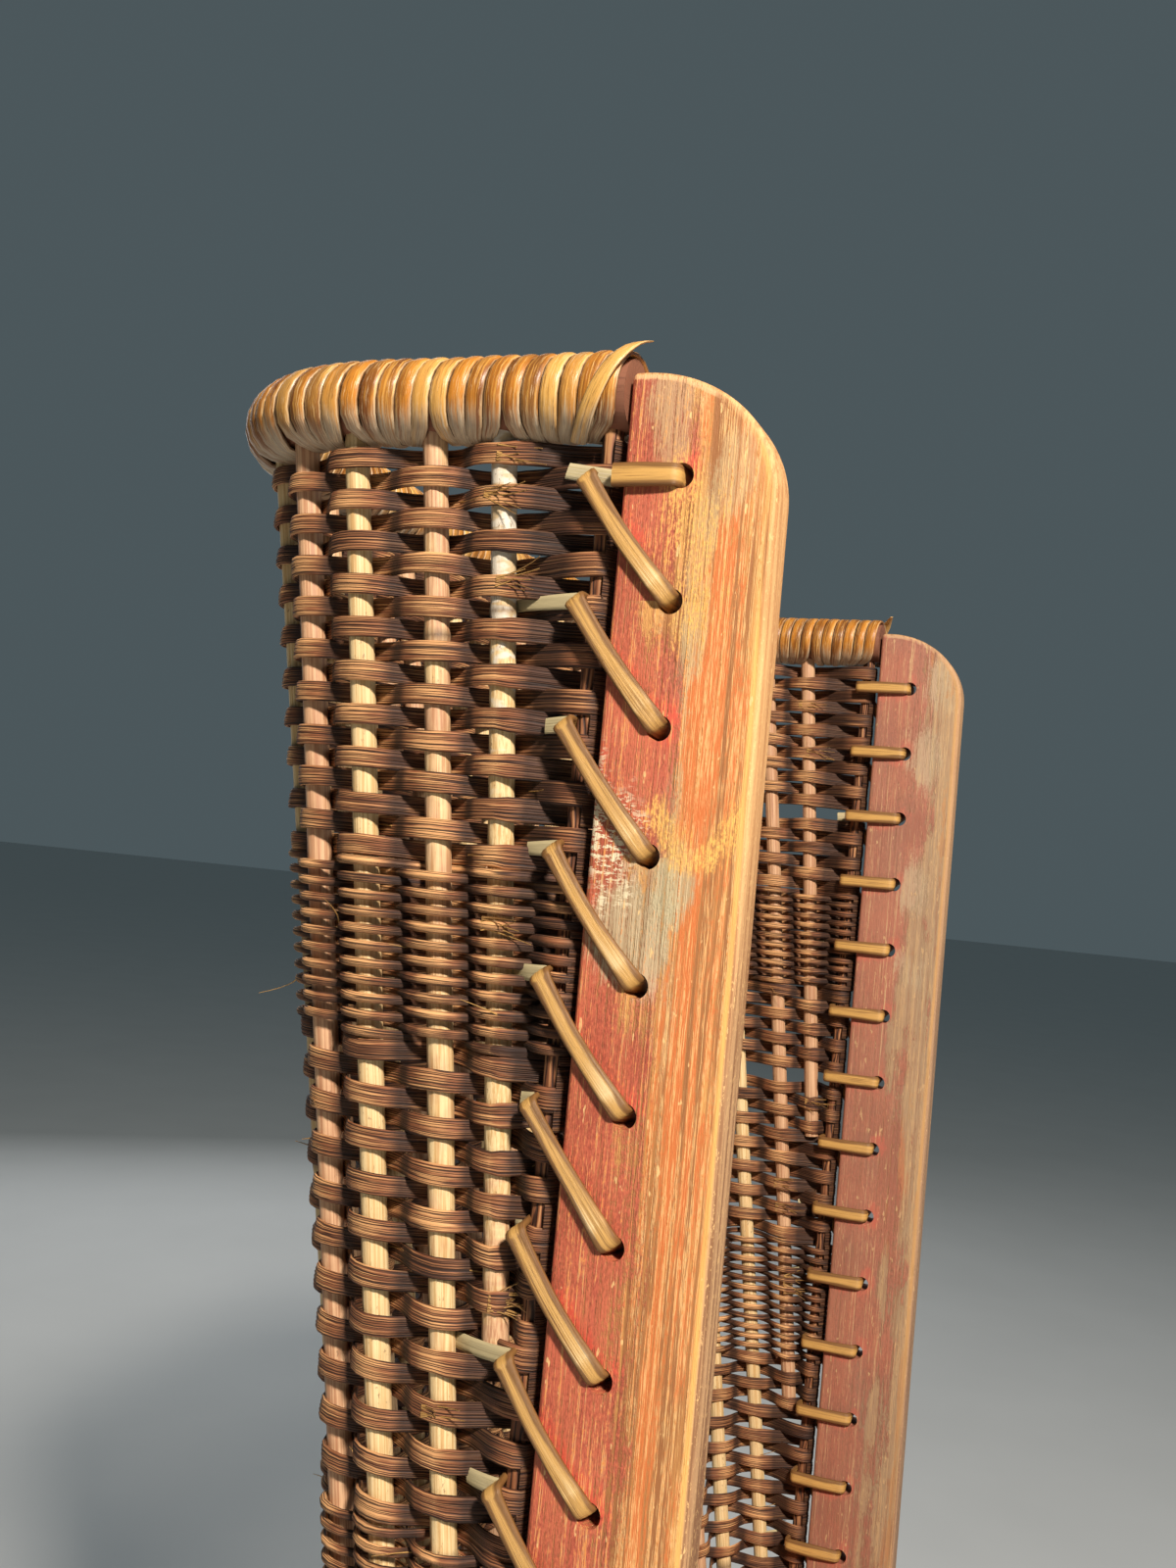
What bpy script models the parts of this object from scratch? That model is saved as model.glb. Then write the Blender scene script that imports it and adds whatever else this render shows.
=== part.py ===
"""A woven chair: two pine side boards and a pine seat frame carry a wicker back that curves round
the sitter. The back stands in a drilled base board, ends in a cane-bound rim and is laced to the
side boards with split cane.

Metres, +Z up. The chair faces -Y. The origin is on the floor, under the middle of the bounding box.
Below, "set back" is a distance behind the rear edge of the side boards.
"""

import math

import bmesh
import bpy
import numpy as np
from mathutils import Vector

# Overall sizes
WIDTH = 0.500  # over the outer faces of the side boards
HEIGHT = 1.050  # floor to the top of the side boards
SEAT_HEIGHT = 0.410  # floor to the top of the seat frame
SEAT_REACH = 0.400  # rear edge of the side boards to the front of the front legs

# Pine stock
BOARD_WIDTH = 0.052
BOARD_THICKNESS = 0.018
BOARD_CORNER_WIDTH = 0.047  # the rounded top corner, front to back
BOARD_CORNER_DROP = 0.042  # and top to bottom
ARRIS = 0.002  # eased edges of the side boards and front legs
LEG_WIDTH = 0.048
RAIL_HEIGHT = 0.055
CROSS_RAIL_HEIGHT = 0.048
CROSS_RAIL_THICKNESS = 0.020
FRONT_RAIL_INSET = 0.006  # front rail behind the front of the legs
BACK_RAIL_SETBACK = -0.020  # middle of the back rail
STRETCHER_HEIGHT = 0.034
STRETCHER_LIFT = 0.120  # floor to the underside of the stretchers
BASE_BOARD_THICKNESS = 0.020
BASE_BOARD_LIP = 0.004  # base board in front of the side boards

# Joints
TENON_SHOULDER = 0.005
TENON_LENGTH = 0.018
CROSS_TENON_LENGTH = 0.011  # middle stretcher into the side stretchers
STAKE_SOCKET = 0.010  # depth of a stake in the rim and in the base board
ROD_SOCKET = 0.012  # depth of a seat rod in its rails
GAP = 0.0003  # clearance between pieces that fit together

# Plan of the wicker back, at the rim and at the base board
WING_DEPTH_TOP = 0.104  # straight part behind the board
WING_DEPTH_BASE = 0.008
CORNER_RADIUS_TOP = 0.061
CORNER_RADIUS_BASE = 0.040
BACK_HEADING = math.radians(8)  # the back is a flat arc that meets the corners at this angle

# Wicker
STAKE_DIAMETER = 0.0084
EDGE_STAKE_DIAMETER = 0.0070
EDGE_STAKE_SETBACK = 0.0080
WEFT_THICKNESS = 0.0023  # weaving on each side of the stakes
BACK_STAKES = 21  # from one wing's last stake round to the other's
LAST_WING_STAKE_TOP = 0.108  # its place along the plan curve, from the board
LAST_WING_STAKE_BASE = 0.0215
WING_STAKES = ((0.0492, 0.093), (0.0763, 0.117))  # set back at the rim, and lean per metre of height
FINE_BANDS = ((0.166, 0.227), (0.385, 0.458))  # top and bottom of the fine weaving, below HEIGHT
OPEN_GAPS = 12  # gaps between stakes where daylight shows through the upper weaving
OPEN_ROWS = 4  # openings in each of these gaps
OPEN_HEIGHT = 0.0060

# Rim
RIM_CORE_DIAMETER = 0.0246
RIM_DROP = 0.0055  # middle of the rim below HEIGHT
RIM_END_GAP = 0.0012  # rim core to the side board
BINDING_LENGTHS = ("left", "back", "right")  # lengths of cane, joined end to end
BINDING_WIDTH = 0.0074
BINDING_THICKNESS = 0.0022
BINDING_ROOM = 0.0010  # between the round core and the flats of the bound cane
BINDING_TURNS = 2  # turns of cane between two stakes
BINDING_PITCH = 0.0090  # where the turns crowd together under the rim
BINDING_STEPS = 10  # points in one turn

# Lacing
LACE_WIDTH = 0.0070
LACE_THICKNESS = 0.0022
LACE_HOLE_DIAMETER = 0.0084
LACE_HOLE_INSET = 0.020  # from the rear edge of the board
LACE_FIRST_HOLE = 0.0348  # below HEIGHT
LACE_PITCH = 0.0409
LACE_TAIL = 0.003  # set back of the lacing's cut ends

# Woven seat
SEAT_RODS = 9
SEAT_ROD_DIAMETER = 0.0100
SEAT_EDGE_ROD = 0.0090  # middle of an outer rod from the side rail
SEAT_SHOULDER = 0.70  # how full the seat's weaving still is a quarter of the way between two rods
SEAT_OPEN_ROWS = 2  # openings in each gap between two rods
SEAT_OPEN_LENGTH = 0.060  # front to back
SEAT_OPEN_MARGIN = 0.001  # between an opening and the folds of the seat's weaving

# Facets
ROUND_SIDES = 8
CORE_SIDES = 10
CORNER_STEPS = 6
BACK_STEPS = 8
BOARD_CORNER_STEPS = 7

# Places worked out from the sizes above
BOARD_OUTER = WIDTH / 2
BOARD_INNER = BOARD_OUTER - BOARD_THICKNESS
BOARD_MIDDLE = BOARD_OUTER - BOARD_THICKNESS / 2
RIM_Z = HEIGHT - RIM_DROP
BASE_Z = SEAT_HEIGHT
WEAVE_HALF = STAKE_DIAMETER / 2 + GAP + WEFT_THICKNESS
RIM_RADIUS = RIM_CORE_DIAMETER / 2 + BINDING_ROOM + BINDING_THICKNESS
WEAVE_TOP = RIM_Z - RIM_RADIUS - GAP
WEAVE_FRONT = EDGE_STAKE_SETBACK - EDGE_STAKE_DIAMETER / 2 - GAP - WEFT_THICKNESS
LACE_SLOT = EDGE_STAKE_SETBACK + EDGE_STAKE_DIAMETER / 2 + GAP + LACE_THICKNESS / 2
WING_STAKE_LIMIT = LACE_SLOT + LACE_THICKNESS / 2 + 2 * GAP + WEFT_THICKNESS / 2 + STAKE_DIAMETER / 2
LEG_REAR = LEG_WIDTH - SEAT_REACH
FRONT_RAIL_FRONT = FRONT_RAIL_INSET - SEAT_REACH
FRONT_RAIL_REAR = FRONT_RAIL_FRONT + CROSS_RAIL_THICKNESS
BASE_BOARD_FRONT = -BOARD_WIDTH - BASE_BOARD_LIP
SEAT_MIDDLE_Z = SEAT_HEIGHT - BASE_BOARD_THICKNESS / 2


def corner_radius(level):
    return CORNER_RADIUS_BASE + (CORNER_RADIUS_TOP - CORNER_RADIUS_BASE) * level


def wing_depth(level):
    return WING_DEPTH_BASE + (WING_DEPTH_TOP - WING_DEPTH_BASE) * level


def back_radius(level):
    radius = corner_radius(level)
    return (BOARD_MIDDLE - radius) / math.sin(BACK_HEADING) + radius


def half_lengths(level):
    """Lengths of the wing, the corner and half the back along the plan curve."""
    corner = corner_radius(level) * (math.pi / 2 - BACK_HEADING)
    return wing_depth(level), corner, back_radius(level) * BACK_HEADING


def level_of(z):
    """0 at the base board and 1 at the rim's middle."""
    return (z - BASE_Z) / (RIM_Z - BASE_Z)


def plan_at_heading(heading, level, offset, on_back):
    """A point of the corner or the back where the curve runs at heading to the X axis."""
    radius = corner_radius(level)
    centre = Vector((radius - BOARD_MIDDLE, wing_depth(level)))
    if on_back:
        corner_end = centre.y + radius * math.cos(BACK_HEADING)
        radius = back_radius(level)
        centre = Vector((0, corner_end - radius * math.cos(BACK_HEADING)))
    out = Vector((-math.sin(heading), math.cos(heading)))
    return centre + out * (radius + offset)


def plan_half(distance, level, offset=0.0):
    """A point of the left half of the plan curve, that far along it from the board."""
    wing, corner, back = half_lengths(level)
    if distance <= wing:
        return Vector((-BOARD_MIDDLE - offset, distance))
    if distance <= wing + corner:
        turned = (distance - wing) / corner * (math.pi / 2 - BACK_HEADING)
        return plan_at_heading(math.pi / 2 - turned, level, offset, False)
    left = 1 - (distance - wing - corner) / back
    return plan_at_heading(BACK_HEADING * left, level, offset, True)


def plan(distance, level, offset=0.0):
    """A point of the whole plan curve, from the left board round to the right one."""
    half = sum(half_lengths(level))
    if distance <= half:
        return plan_half(distance, level, offset)
    point = plan_half(2 * half - distance, level, offset)
    return Vector((-point.x, point.y))


def plan_stations(level, start):
    """Distances along the plan curve that give its outline, from start behind each board."""
    wing, corner, back = half_lengths(level)
    first = [start, wing] + [wing + corner * i / CORNER_STEPS for i in range(1, CORNER_STEPS + 1)]
    middle = [wing + corner + 2 * back * i / BACK_STEPS for i in range(1, BACK_STEPS)]
    whole = 2 * (wing + corner + back)
    return first + middle + [whole - d for d in reversed(first)]


def clear_scene():
    for obj in list(bpy.data.objects):
        bpy.data.objects.remove(obj)


def material(name, colour, roughness):
    made = bpy.data.materials.new(name)
    made.use_nodes = True
    shader = made.node_tree.nodes["Principled BSDF"]
    shader.inputs["Base Color"].default_value = (*colour, 1)
    shader.inputs["Roughness"].default_value = roughness
    shader.inputs["Metallic"].default_value = 0.0
    return made


def origin_shift():
    """Moves the side boards' rear edge from y = 0 to its place about the middle of the chair."""
    rear = plan(sum(half_lengths(1)), 1).y + RIM_RADIUS
    return Vector((0, (SEAT_REACH - rear) / 2, 0))


def piece(name, bm, finish, smooth=False):
    """One named object from a closed bmesh."""
    bmesh.ops.translate(bm, vec=origin_shift(), verts=bm.verts)
    bmesh.ops.recalc_face_normals(bm, faces=bm.faces)
    mesh = bpy.data.meshes.new(name)
    bm.to_mesh(mesh)
    bm.free()
    if smooth:
        mesh.shade_smooth()
        mesh.set_sharp_from_angle(angle=math.radians(50))
    if finish:
        mesh.materials.append(finish)
    obj = bpy.data.objects.new(name, mesh)
    bpy.context.scene.collection.objects.link(obj)
    return obj


def cutter(name, bm):
    obj = piece(name, bm, None)
    obj.hide_render = True
    obj.display_type = "WIRE"
    return obj


def cut(obj, tool):
    boolean = obj.modifiers.new(tool.name, "BOOLEAN")
    boolean.operation = "DIFFERENCE"
    boolean.solver = "EXACT"
    boolean.object = tool


def ease_edges(obj):
    bevel = obj.modifiers.new("eased_edges", "BEVEL")
    bevel.width = ARRIS
    bevel.segments = 1
    bevel.limit_method = "ANGLE"
    bevel.angle_limit = math.radians(40)


def add_box(bm, low, high):
    low, high = Vector(low), Vector(high)
    made = bmesh.ops.create_cube(bm, size=1)["verts"]
    bmesh.ops.scale(bm, vec=high - low, verts=made)
    bmesh.ops.translate(bm, vec=(low + high) / 2, verts=made)


def add_rod(bm, start, end, radius, sides=ROUND_SIDES):
    """A straight round rod, with level ends if it stands and square ends if it lies."""
    start, end = Vector(start), Vector(end)
    along = (end - start).normalized()
    if abs(along.z) > abs(along.x) and abs(along.z) > abs(along.y):
        first, second = Vector((1, 0, 0)), Vector((0, 1, 0))
    else:
        first = Vector((0, 0, 1))
        second = along.cross(first)
    rings = []
    for middle in (start, end):
        turns = [2 * math.pi * (i + 0.5) / sides for i in range(sides)]
        rings.append([bm.verts.new(middle + radius * (first * math.cos(t) + second * math.sin(t))) for t in turns])
    close_sweep(bm, rings)


def close_sweep(bm, rings):
    """Skins rings of points into one closed tube."""
    count = len(rings[0])
    for near, far in zip(rings, rings[1:]):
        for i in range(count):
            j = (i + 1) % count
            bm.faces.new((near[i], near[j], far[j], far[i]))
    bm.faces.new(rings[0])
    bm.faces.new(rings[-1])


def add_strip(bm, points, widths, width, thickness):
    """A flat strip of cane along points. widths are the directions that its width lies in."""
    rings = []
    last = len(points) - 1
    for i, (point, across) in enumerate(zip(points, widths)):
        before = (point - points[i - 1]).normalized() if i else None
        after = (points[i + 1] - point).normalized() if i < last else None
        along = (before or after) + (after or before)
        face = along.cross(across).normalized()
        # A strip keeps its thickness round a fold, so the mitre is longer than the strip is thick.
        mitre = thickness / 2 / max(0.5, along.length / 2)
        edge = across * (width / 2)
        corners = (edge + face * mitre, edge - face * mitre, -edge - face * mitre, -edge + face * mitre)
        rings.append([bm.verts.new(point + corner) for corner in corners])
    close_sweep(bm, rings)
    return np.array([[vert.co for vert in ring] for ring in rings])


def least_gap(rings, skip, steps=1):
    """Least distance between the edges of a winding's strip, over stretches at least skip rings apart.

    Each stretch between two rings is measured at that many steps."""
    shares = np.arange(steps).reshape(1, -1, 1, 1) / steps
    filled = rings[:-1, None] * (1 - shares) + rings[1:, None] * shares
    filled = filled.reshape(-1, 4, 3)
    least = math.inf
    for i in range(len(filled) - skip * steps):
        others = filled[i + skip * steps :].reshape(-1, 1, 3)
        least = min(least, np.linalg.norm(others - filled[i], axis=2).min())
    return least


def board_holes():
    """Heights of the lacing holes, from the top down."""
    count = int((HEIGHT - LACE_FIRST_HOLE - BASE_Z - LACE_HOLE_DIAMETER) / LACE_PITCH) + 1
    return [HEIGHT - LACE_FIRST_HOLE - i * LACE_PITCH for i in range(count)]


def add_tenons(bm, axis, length):
    """Shouldered tenons on the two ends of a rail that lies along axis."""
    for side in (-1, 1):
        end = [f for f in bm.faces if f.normal[axis] * side > 0.9]
        bmesh.ops.inset_individual(bm, faces=end, thickness=TENON_SHOULDER, use_even_offset=True)
        out = Vector((0, 0, 0))
        out[axis] = side * length
        moved = bmesh.ops.extrude_face_region(bm, geom=end)["geom"]
        bmesh.ops.translate(bm, vec=out, verts=[v for v in moved if isinstance(v, bmesh.types.BMVert)])
        bmesh.ops.delete(bm, geom=end, context="FACES_ONLY")


def rail(name, low, high, axis, length, finish):
    """A rail between its shoulders, low and high, with a tenon at each end."""
    bm = bmesh.new()
    add_box(bm, low, high)
    bm.normal_update()
    add_tenons(bm, axis, length)
    return piece(name, bm, finish)


def mortise(bm, low, high, axis, length):
    """The room for both tenons of the rail with those shoulders."""
    for side in (0, 1):
        near, far = Vector(low), Vector(high)
        for other in range(3):
            if other != axis:
                near[other] += TENON_SHOULDER - GAP
                far[other] -= TENON_SHOULDER - GAP
        shoulder = (low, high)[side][axis]
        near[axis] = shoulder - (length + GAP if side == 0 else GAP)
        far[axis] = shoulder + (length + GAP if side else GAP)
        add_box(bm, near, far)


def frame_rails():
    """Every rail as (name, low shoulder, high shoulder, axis of its length, tenon length)."""
    rails = []
    rail_low = SEAT_HEIGHT - RAIL_HEIGHT
    lift = STRETCHER_LIFT
    for name, side in (("left", -1), ("right", 1)):
        inner, outer = sorted((side * BOARD_INNER, side * BOARD_OUTER))
        rear = -BOARD_WIDTH - GAP
        low, high = (inner, LEG_REAR + GAP, rail_low), (outer, rear, SEAT_HEIGHT)
        rails.append((f"{name}_seat_rail", low, high, 1, TENON_LENGTH))
        low, high = (inner, LEG_REAR + GAP, lift), (outer, rear, lift + STRETCHER_HEIGHT)
        rails.append((f"{name}_stretcher", low, high, 1, TENON_LENGTH))
    reach = BOARD_INNER - GAP
    low = (-reach, FRONT_RAIL_FRONT, rail_low)
    high = (reach, FRONT_RAIL_REAR, SEAT_HEIGHT)
    rails.append(("front_seat_rail", low, high, 0, BOARD_THICKNESS + GAP))
    back_top = SEAT_HEIGHT - BASE_BOARD_THICKNESS - GAP
    back_front = BACK_RAIL_SETBACK - CROSS_RAIL_THICKNESS / 2
    low = (-reach, back_front, back_top - CROSS_RAIL_HEIGHT)
    high = (reach, back_front + CROSS_RAIL_THICKNESS, back_top)
    rails.append(("back_seat_rail", low, high, 0, BOARD_THICKNESS + GAP))
    middle = (LEG_REAR - BOARD_WIDTH) / 2
    low = (-reach, middle - CROSS_RAIL_THICKNESS / 2, lift)
    high = (reach, middle + CROSS_RAIL_THICKNESS / 2, lift + STRETCHER_HEIGHT)
    rails.append(("middle_stretcher", low, high, 0, CROSS_TENON_LENGTH))
    return rails


def make_mortises():
    """One cutter for each rail, holding the room for its two tenons."""
    tools = {}
    for name, low, high, axis, length in frame_rails():
        bm = bmesh.new()
        mortise(bm, low, high, axis, length)
        tools[name] = cutter(f"cut_{name}", bm)
    return tools


def make_side_board(name, side, finish):
    """A full-height board with a rounded top corner and a row of lacing holes."""
    turn = [math.pi / 2 * i / BOARD_CORNER_STEPS for i in range(BOARD_CORNER_STEPS + 1)]
    corner_y = BOARD_CORNER_WIDTH - BOARD_WIDTH
    corner_z = HEIGHT - BOARD_CORNER_DROP
    outline = [(0, 0), (0, HEIGHT)]
    outline += [
        (corner_y - BOARD_CORNER_WIDTH * math.sin(t), corner_z + BOARD_CORNER_DROP * math.cos(t)) for t in turn
    ]
    outline.append((-BOARD_WIDTH, 0))
    bm = bmesh.new()
    face = bm.faces.new([bm.verts.new((side * BOARD_INNER, y, z)) for y, z in outline])
    moved = bmesh.ops.extrude_face_region(bm, geom=[face])["geom"]
    verts = [v for v in moved if isinstance(v, bmesh.types.BMVert)]
    bmesh.ops.translate(bm, vec=(side * BOARD_THICKNESS, 0, 0), verts=verts)
    board = piece(name, bm, finish)
    ease_edges(board)
    bm = bmesh.new()
    for z in board_holes():
        start = (side * (BOARD_INNER - BOARD_THICKNESS), -LACE_HOLE_INSET, z)
        end = (side * (BOARD_OUTER + BOARD_THICKNESS), -LACE_HOLE_INSET, z)
        add_rod(bm, start, end, LACE_HOLE_DIAMETER / 2)
    cut(board, cutter(f"cut_{name}_holes", bm))
    return board


def make_frame(red_pine):
    """Side boards, front legs, rails and stretchers, with their mortises."""
    tools = make_mortises()
    for name, side in (("left", -1), ("right", 1)):
        board = make_side_board(f"{name}_side_board", side, red_pine)
        inner, outer = sorted((side * BOARD_INNER, side * BOARD_OUTER))
        bm = bmesh.new()
        add_box(bm, (inner, -SEAT_REACH, 0), (outer, LEG_REAR, SEAT_HEIGHT))
        leg = piece(f"{name}_front_leg", bm, red_pine)
        ease_edges(leg)
        for tool in (f"{name}_seat_rail", f"{name}_stretcher"):
            cut(board, tools[tool])
            cut(leg, tools[tool])
        cut(board, tools["back_seat_rail"])
        cut(leg, tools["front_seat_rail"])
    made = {}
    for name, low, high, axis, length in frame_rails():
        made[name] = rail(name, low, high, axis, length, red_pine)
    for name in ("left_stretcher", "right_stretcher"):
        cut(made[name], tools["middle_stretcher"])
    return made["front_seat_rail"]


def stake_lines():
    """Every stake of the back as name -> (bottom, top, diameter, place along the rim)."""
    top_z = RIM_Z - RIM_CORE_DIAMETER / 2 + STAKE_SOCKET
    low_z = BASE_Z - STAKE_SOCKET
    whole = 2 * sum(half_lengths(1))
    lines = {}
    for name, side in (("left", -1), ("right", 1)):
        x = side * BOARD_MIDDLE
        foot = Vector((x, EDGE_STAKE_SETBACK, low_z))
        head = Vector((x, EDGE_STAKE_SETBACK, top_z))
        place = EDGE_STAKE_SETBACK if side < 0 else whole - EDGE_STAKE_SETBACK
        lines[f"{name}_edge_stake"] = (foot, head, EDGE_STAKE_DIAMETER, place)
        for i, (set_back, lean) in enumerate(WING_STAKES):
            end_z = RIM_Z - (set_back - WING_STAKE_LIMIT) / lean
            foot = Vector((x, WING_STAKE_LIMIT, end_z))
            head = Vector((x, set_back - lean * (RIM_Z - top_z), top_z))
            place = set_back if side < 0 else whole - set_back
            lines[f"{name}_wing_stake_{i + 1}"] = (foot, head, STAKE_DIAMETER, place)
    for i in range(BACK_STAKES):
        share = i / (BACK_STAKES - 1)
        ends = []
        for level, first in ((0, LAST_WING_STAKE_BASE), (1, LAST_WING_STAKE_TOP)):
            run = 2 * sum(half_lengths(level)) - 2 * first
            ends.append(plan(first + share * run, level).to_3d())
        ends[0].z, ends[1].z = BASE_Z, RIM_Z
        along = (ends[1] - ends[0]) / (RIM_Z - BASE_Z)
        foot = ends[0] + along * (low_z - BASE_Z)
        head = ends[0] + along * (top_z - BASE_Z)
        place = LAST_WING_STAKE_TOP + share * (whole - 2 * LAST_WING_STAKE_TOP)
        lines[f"back_stake_{i + 1:02d}"] = (foot, head, STAKE_DIAMETER, place)
    return lines


def make_stakes(finish):
    """The stakes, and one cutter with a little more room than they fill."""
    room = bmesh.new()
    for name, (foot, head, diameter, _) in stake_lines().items():
        bm = bmesh.new()
        add_rod(bm, foot, head, diameter / 2)
        piece(name, bm, finish, smooth=True)
        over = (head - foot).normalized() * GAP
        add_rod(room, foot - over, head + over, diameter / 2 + GAP)
    return cutter("cut_stakes", room)


def make_lace_slots():
    """Where the lacing passes through the weaving, behind each edge stake."""
    bm = bmesh.new()
    deep = LACE_THICKNESS / 2 + GAP
    tall = LACE_WIDTH / 2 + GAP
    for side in (-1, 1):
        near, far = sorted((side * (BOARD_MIDDLE - 2 * WEAVE_HALF), side * (BOARD_MIDDLE + 2 * WEAVE_HALF)))
        for z in board_holes():
            add_box(bm, (near, LACE_SLOT - deep, z - tall), (far, LACE_SLOT + deep, z + tall))
    return cutter("cut_lace_slots", bm)


def make_daylight(low_z, high_z):
    """Openings between the rows of the upper weaving, in every other gap from each board."""
    stakes = sorted(stake_lines().values(), key=lambda line: line[3])
    gaps = len(stakes) - 1
    firsts = [1 + 2 * i for i in range(OPEN_GAPS // 2)]
    bm = bmesh.new()
    for i in firsts + [gaps - 1 - first for first in firsts]:
        for row in range(OPEN_ROWS):
            middle_z = low_z + (high_z - low_z) * (row + 0.5) / OPEN_ROWS
            rings = []
            for z in (middle_z - OPEN_HEIGHT / 2, middle_z + OPEN_HEIGHT / 2):
                ends = [foot.lerp(head, (z - foot.z) / (head.z - foot.z)) for foot, head, _, _ in stakes[i : i + 2]]
                run = ends[1] - ends[0]
                along = run.normalized()
                across = Vector((-along.y, along.x, 0)) * 2 * WEAVE_HALF
                half = along * (run.length / 2 - STAKE_DIAMETER / 2 - GAP - WEFT_THICKNESS)
                middle = (ends[0] + ends[1]) / 2
                corners = [middle + s * half + t * across for s, t in ((-1, -1), (1, -1), (1, 1), (-1, 1))]
                rings.append([bm.verts.new(corner) for corner in corners])
            close_sweep(bm, rings)
    return cutter("cut_daylight", bm)


def make_weave(name, low_z, high_z, finish, tools):
    """One band of weaving: a curved wall that the stakes and the lacing pass through."""
    bm = bmesh.new()
    rings = []
    for z in (low_z, high_z):
        level = level_of(z)
        stations = plan_stations(level, WEAVE_FRONT)
        sides = [[plan(s, level, offset) for s in stations] for offset in (WEAVE_HALF, -WEAVE_HALF)]
        rings.append([[bm.verts.new((p.x, p.y, z)) for p in side] for side in sides])
    (low_out, low_in), (high_out, high_in) = rings
    walls = ((low_out, high_out), (high_in, low_in), (high_out, high_in), (low_in, low_out))
    for first, second in walls:
        for i in range(len(first) - 1):
            bm.faces.new((first[i], first[i + 1], second[i + 1], second[i]))
    for i in (0, -1):
        bm.faces.new((low_out[i], low_in[i], high_in[i], high_out[i]))
    wall = piece(name, bm, finish)
    for tool in tools:
        cut(wall, tool)


def make_weaving(coarse, fine, tools):
    """Three bands of flat weaving with two bands of fine weaving between them."""
    (first_top, first_end), (second_top, second_end) = FINE_BANDS
    edges = (WEAVE_TOP, HEIGHT - first_top, HEIGHT - first_end, HEIGHT - second_top, HEIGHT - second_end, BASE_Z)
    names = ("upper_weaving", "upper_fine_band", "middle_weaving", "lower_fine_band", "lower_weaving")
    for i, name in enumerate(names):
        low_z = edges[i + 1] + GAP / 2
        high_z = edges[i] - GAP / 2
        open_tools = (make_daylight(low_z, high_z),) if name == names[0] else ()
        make_weave(name, low_z, high_z, fine if "fine" in name else coarse, (*tools, *open_tools))


def rim_path():
    """Middle of the rim from board to board, with the direction across it at each point."""
    stations = plan_stations(1, RIM_END_GAP)
    return [plan(s, 1).to_3d() + Vector((0, 0, RIM_Z)) for s in stations], [plan_across(s) for s in stations]


def plan_across(distance):
    """Unit vector that points out of the rim's curve."""
    return (plan(distance, 1, 1.0) - plan(distance, 1)).to_3d()


def make_rim_core(finish, tools):
    points, across = rim_path()
    up = Vector((0, 0, 1))
    radius = RIM_CORE_DIAMETER / 2
    bm = bmesh.new()
    rings = []
    for i, (point, out) in enumerate(zip(points, across)):
        # Where the path bends, the ring is on the mitre, so it is a little wider there.
        before = (point - points[max(i - 1, 0)]).normalized()
        after = (points[min(i + 1, len(points) - 1)] - point).normalized()
        mitre = 1 / math.cos(before.angle(after) / 2) if 0 < i < len(points) - 1 else 1
        turns = [2 * math.pi * (k + 0.5) / CORE_SIDES for k in range(CORE_SIDES)]
        ring = [point + radius * (out * math.cos(t) * mitre + up * math.sin(t)) for t in turns]
        rings.append([bm.verts.new(p) for p in ring])
    close_sweep(bm, rings)
    core = piece("rim_core", bm, finish, smooth=True)
    for tool in tools:
        cut(core, tool)


def stakes_under_rim():
    """Places along the rim of the stakes where they meet its underside, as they lean."""
    places = []
    for foot, head, _, place in stake_lines().values():
        share = (RIM_Z - RIM_RADIUS - foot.z) / (head.z - foot.z)
        meets = foot.lerp(head, share).to_2d() - plan(place, 1)
        along = plan_across(place).cross(Vector((0, 0, 1)))
        places.append(place + meets.dot(along.to_2d()))
    return sorted(places)


def binding_crossings():
    """Places along the rim where the cane passes under it, always between two stakes."""
    stakes = stakes_under_rim()
    usual = (stakes[-1] - stakes[0]) / (len(stakes) - 1)
    crossings = []
    for near, far in zip(stakes, stakes[1:]):
        turns = BINDING_TURNS + int(far - near > usual + BINDING_PITCH)
        for i in range(turns):
            crossings.append((near + far) / 2 + (i - (turns - 1) / 2) * BINDING_PITCH)
    return crossings


def binding_point(crossings, turn, share):
    """A point of the cane, and the direction of its width, that share of the way round a turn."""
    distance = crossings[turn] + (crossings[turn + 1] - crossings[turn]) * share
    angle = 2 * math.pi * share - math.pi / 2
    up = Vector((0, 0, 1))
    out = plan_across(distance)
    centre = plan(distance, 1).to_3d() + up * RIM_Z
    point = centre + (RIM_RADIUS - BINDING_THICKNESS / 2) * (out * math.cos(angle) + up * math.sin(angle))
    return point, out.cross(up)


def make_binding(finish):
    """Flat cane wound round the rim in three lengths, each from one underside to another."""
    crossings = binding_crossings()
    turns = len(crossings) - 1
    for k, name in enumerate(BINDING_LENGTHS):
        first = round(turns * k / len(BINDING_LENGTHS)) * BINDING_STEPS
        last = round(turns * (k + 1) / len(BINDING_LENGTHS)) * BINDING_STEPS
        # A length stops one step short, so that it ends clear of the next.
        stop = last if k + 1 == len(BINDING_LENGTHS) else last - 1
        steps = [divmod(i, BINDING_STEPS) for i in range(first, stop)]
        made = [binding_point(crossings, turn, step / BINDING_STEPS) for turn, step in steps]
        points, widths = zip(*made)
        bm = bmesh.new()
        rings = add_strip(bm, points, widths, BINDING_WIDTH, BINDING_THICKNESS)
        piece(f"rim_binding_{name}", bm, finish, smooth=True)
        gap = least_gap(rings, BINDING_STEPS // 2)
        print(f"rim_binding_{name}: {len(points) / BINDING_STEPS:.1f} turns, least gap {1000 * gap:.2f} mm")


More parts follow.
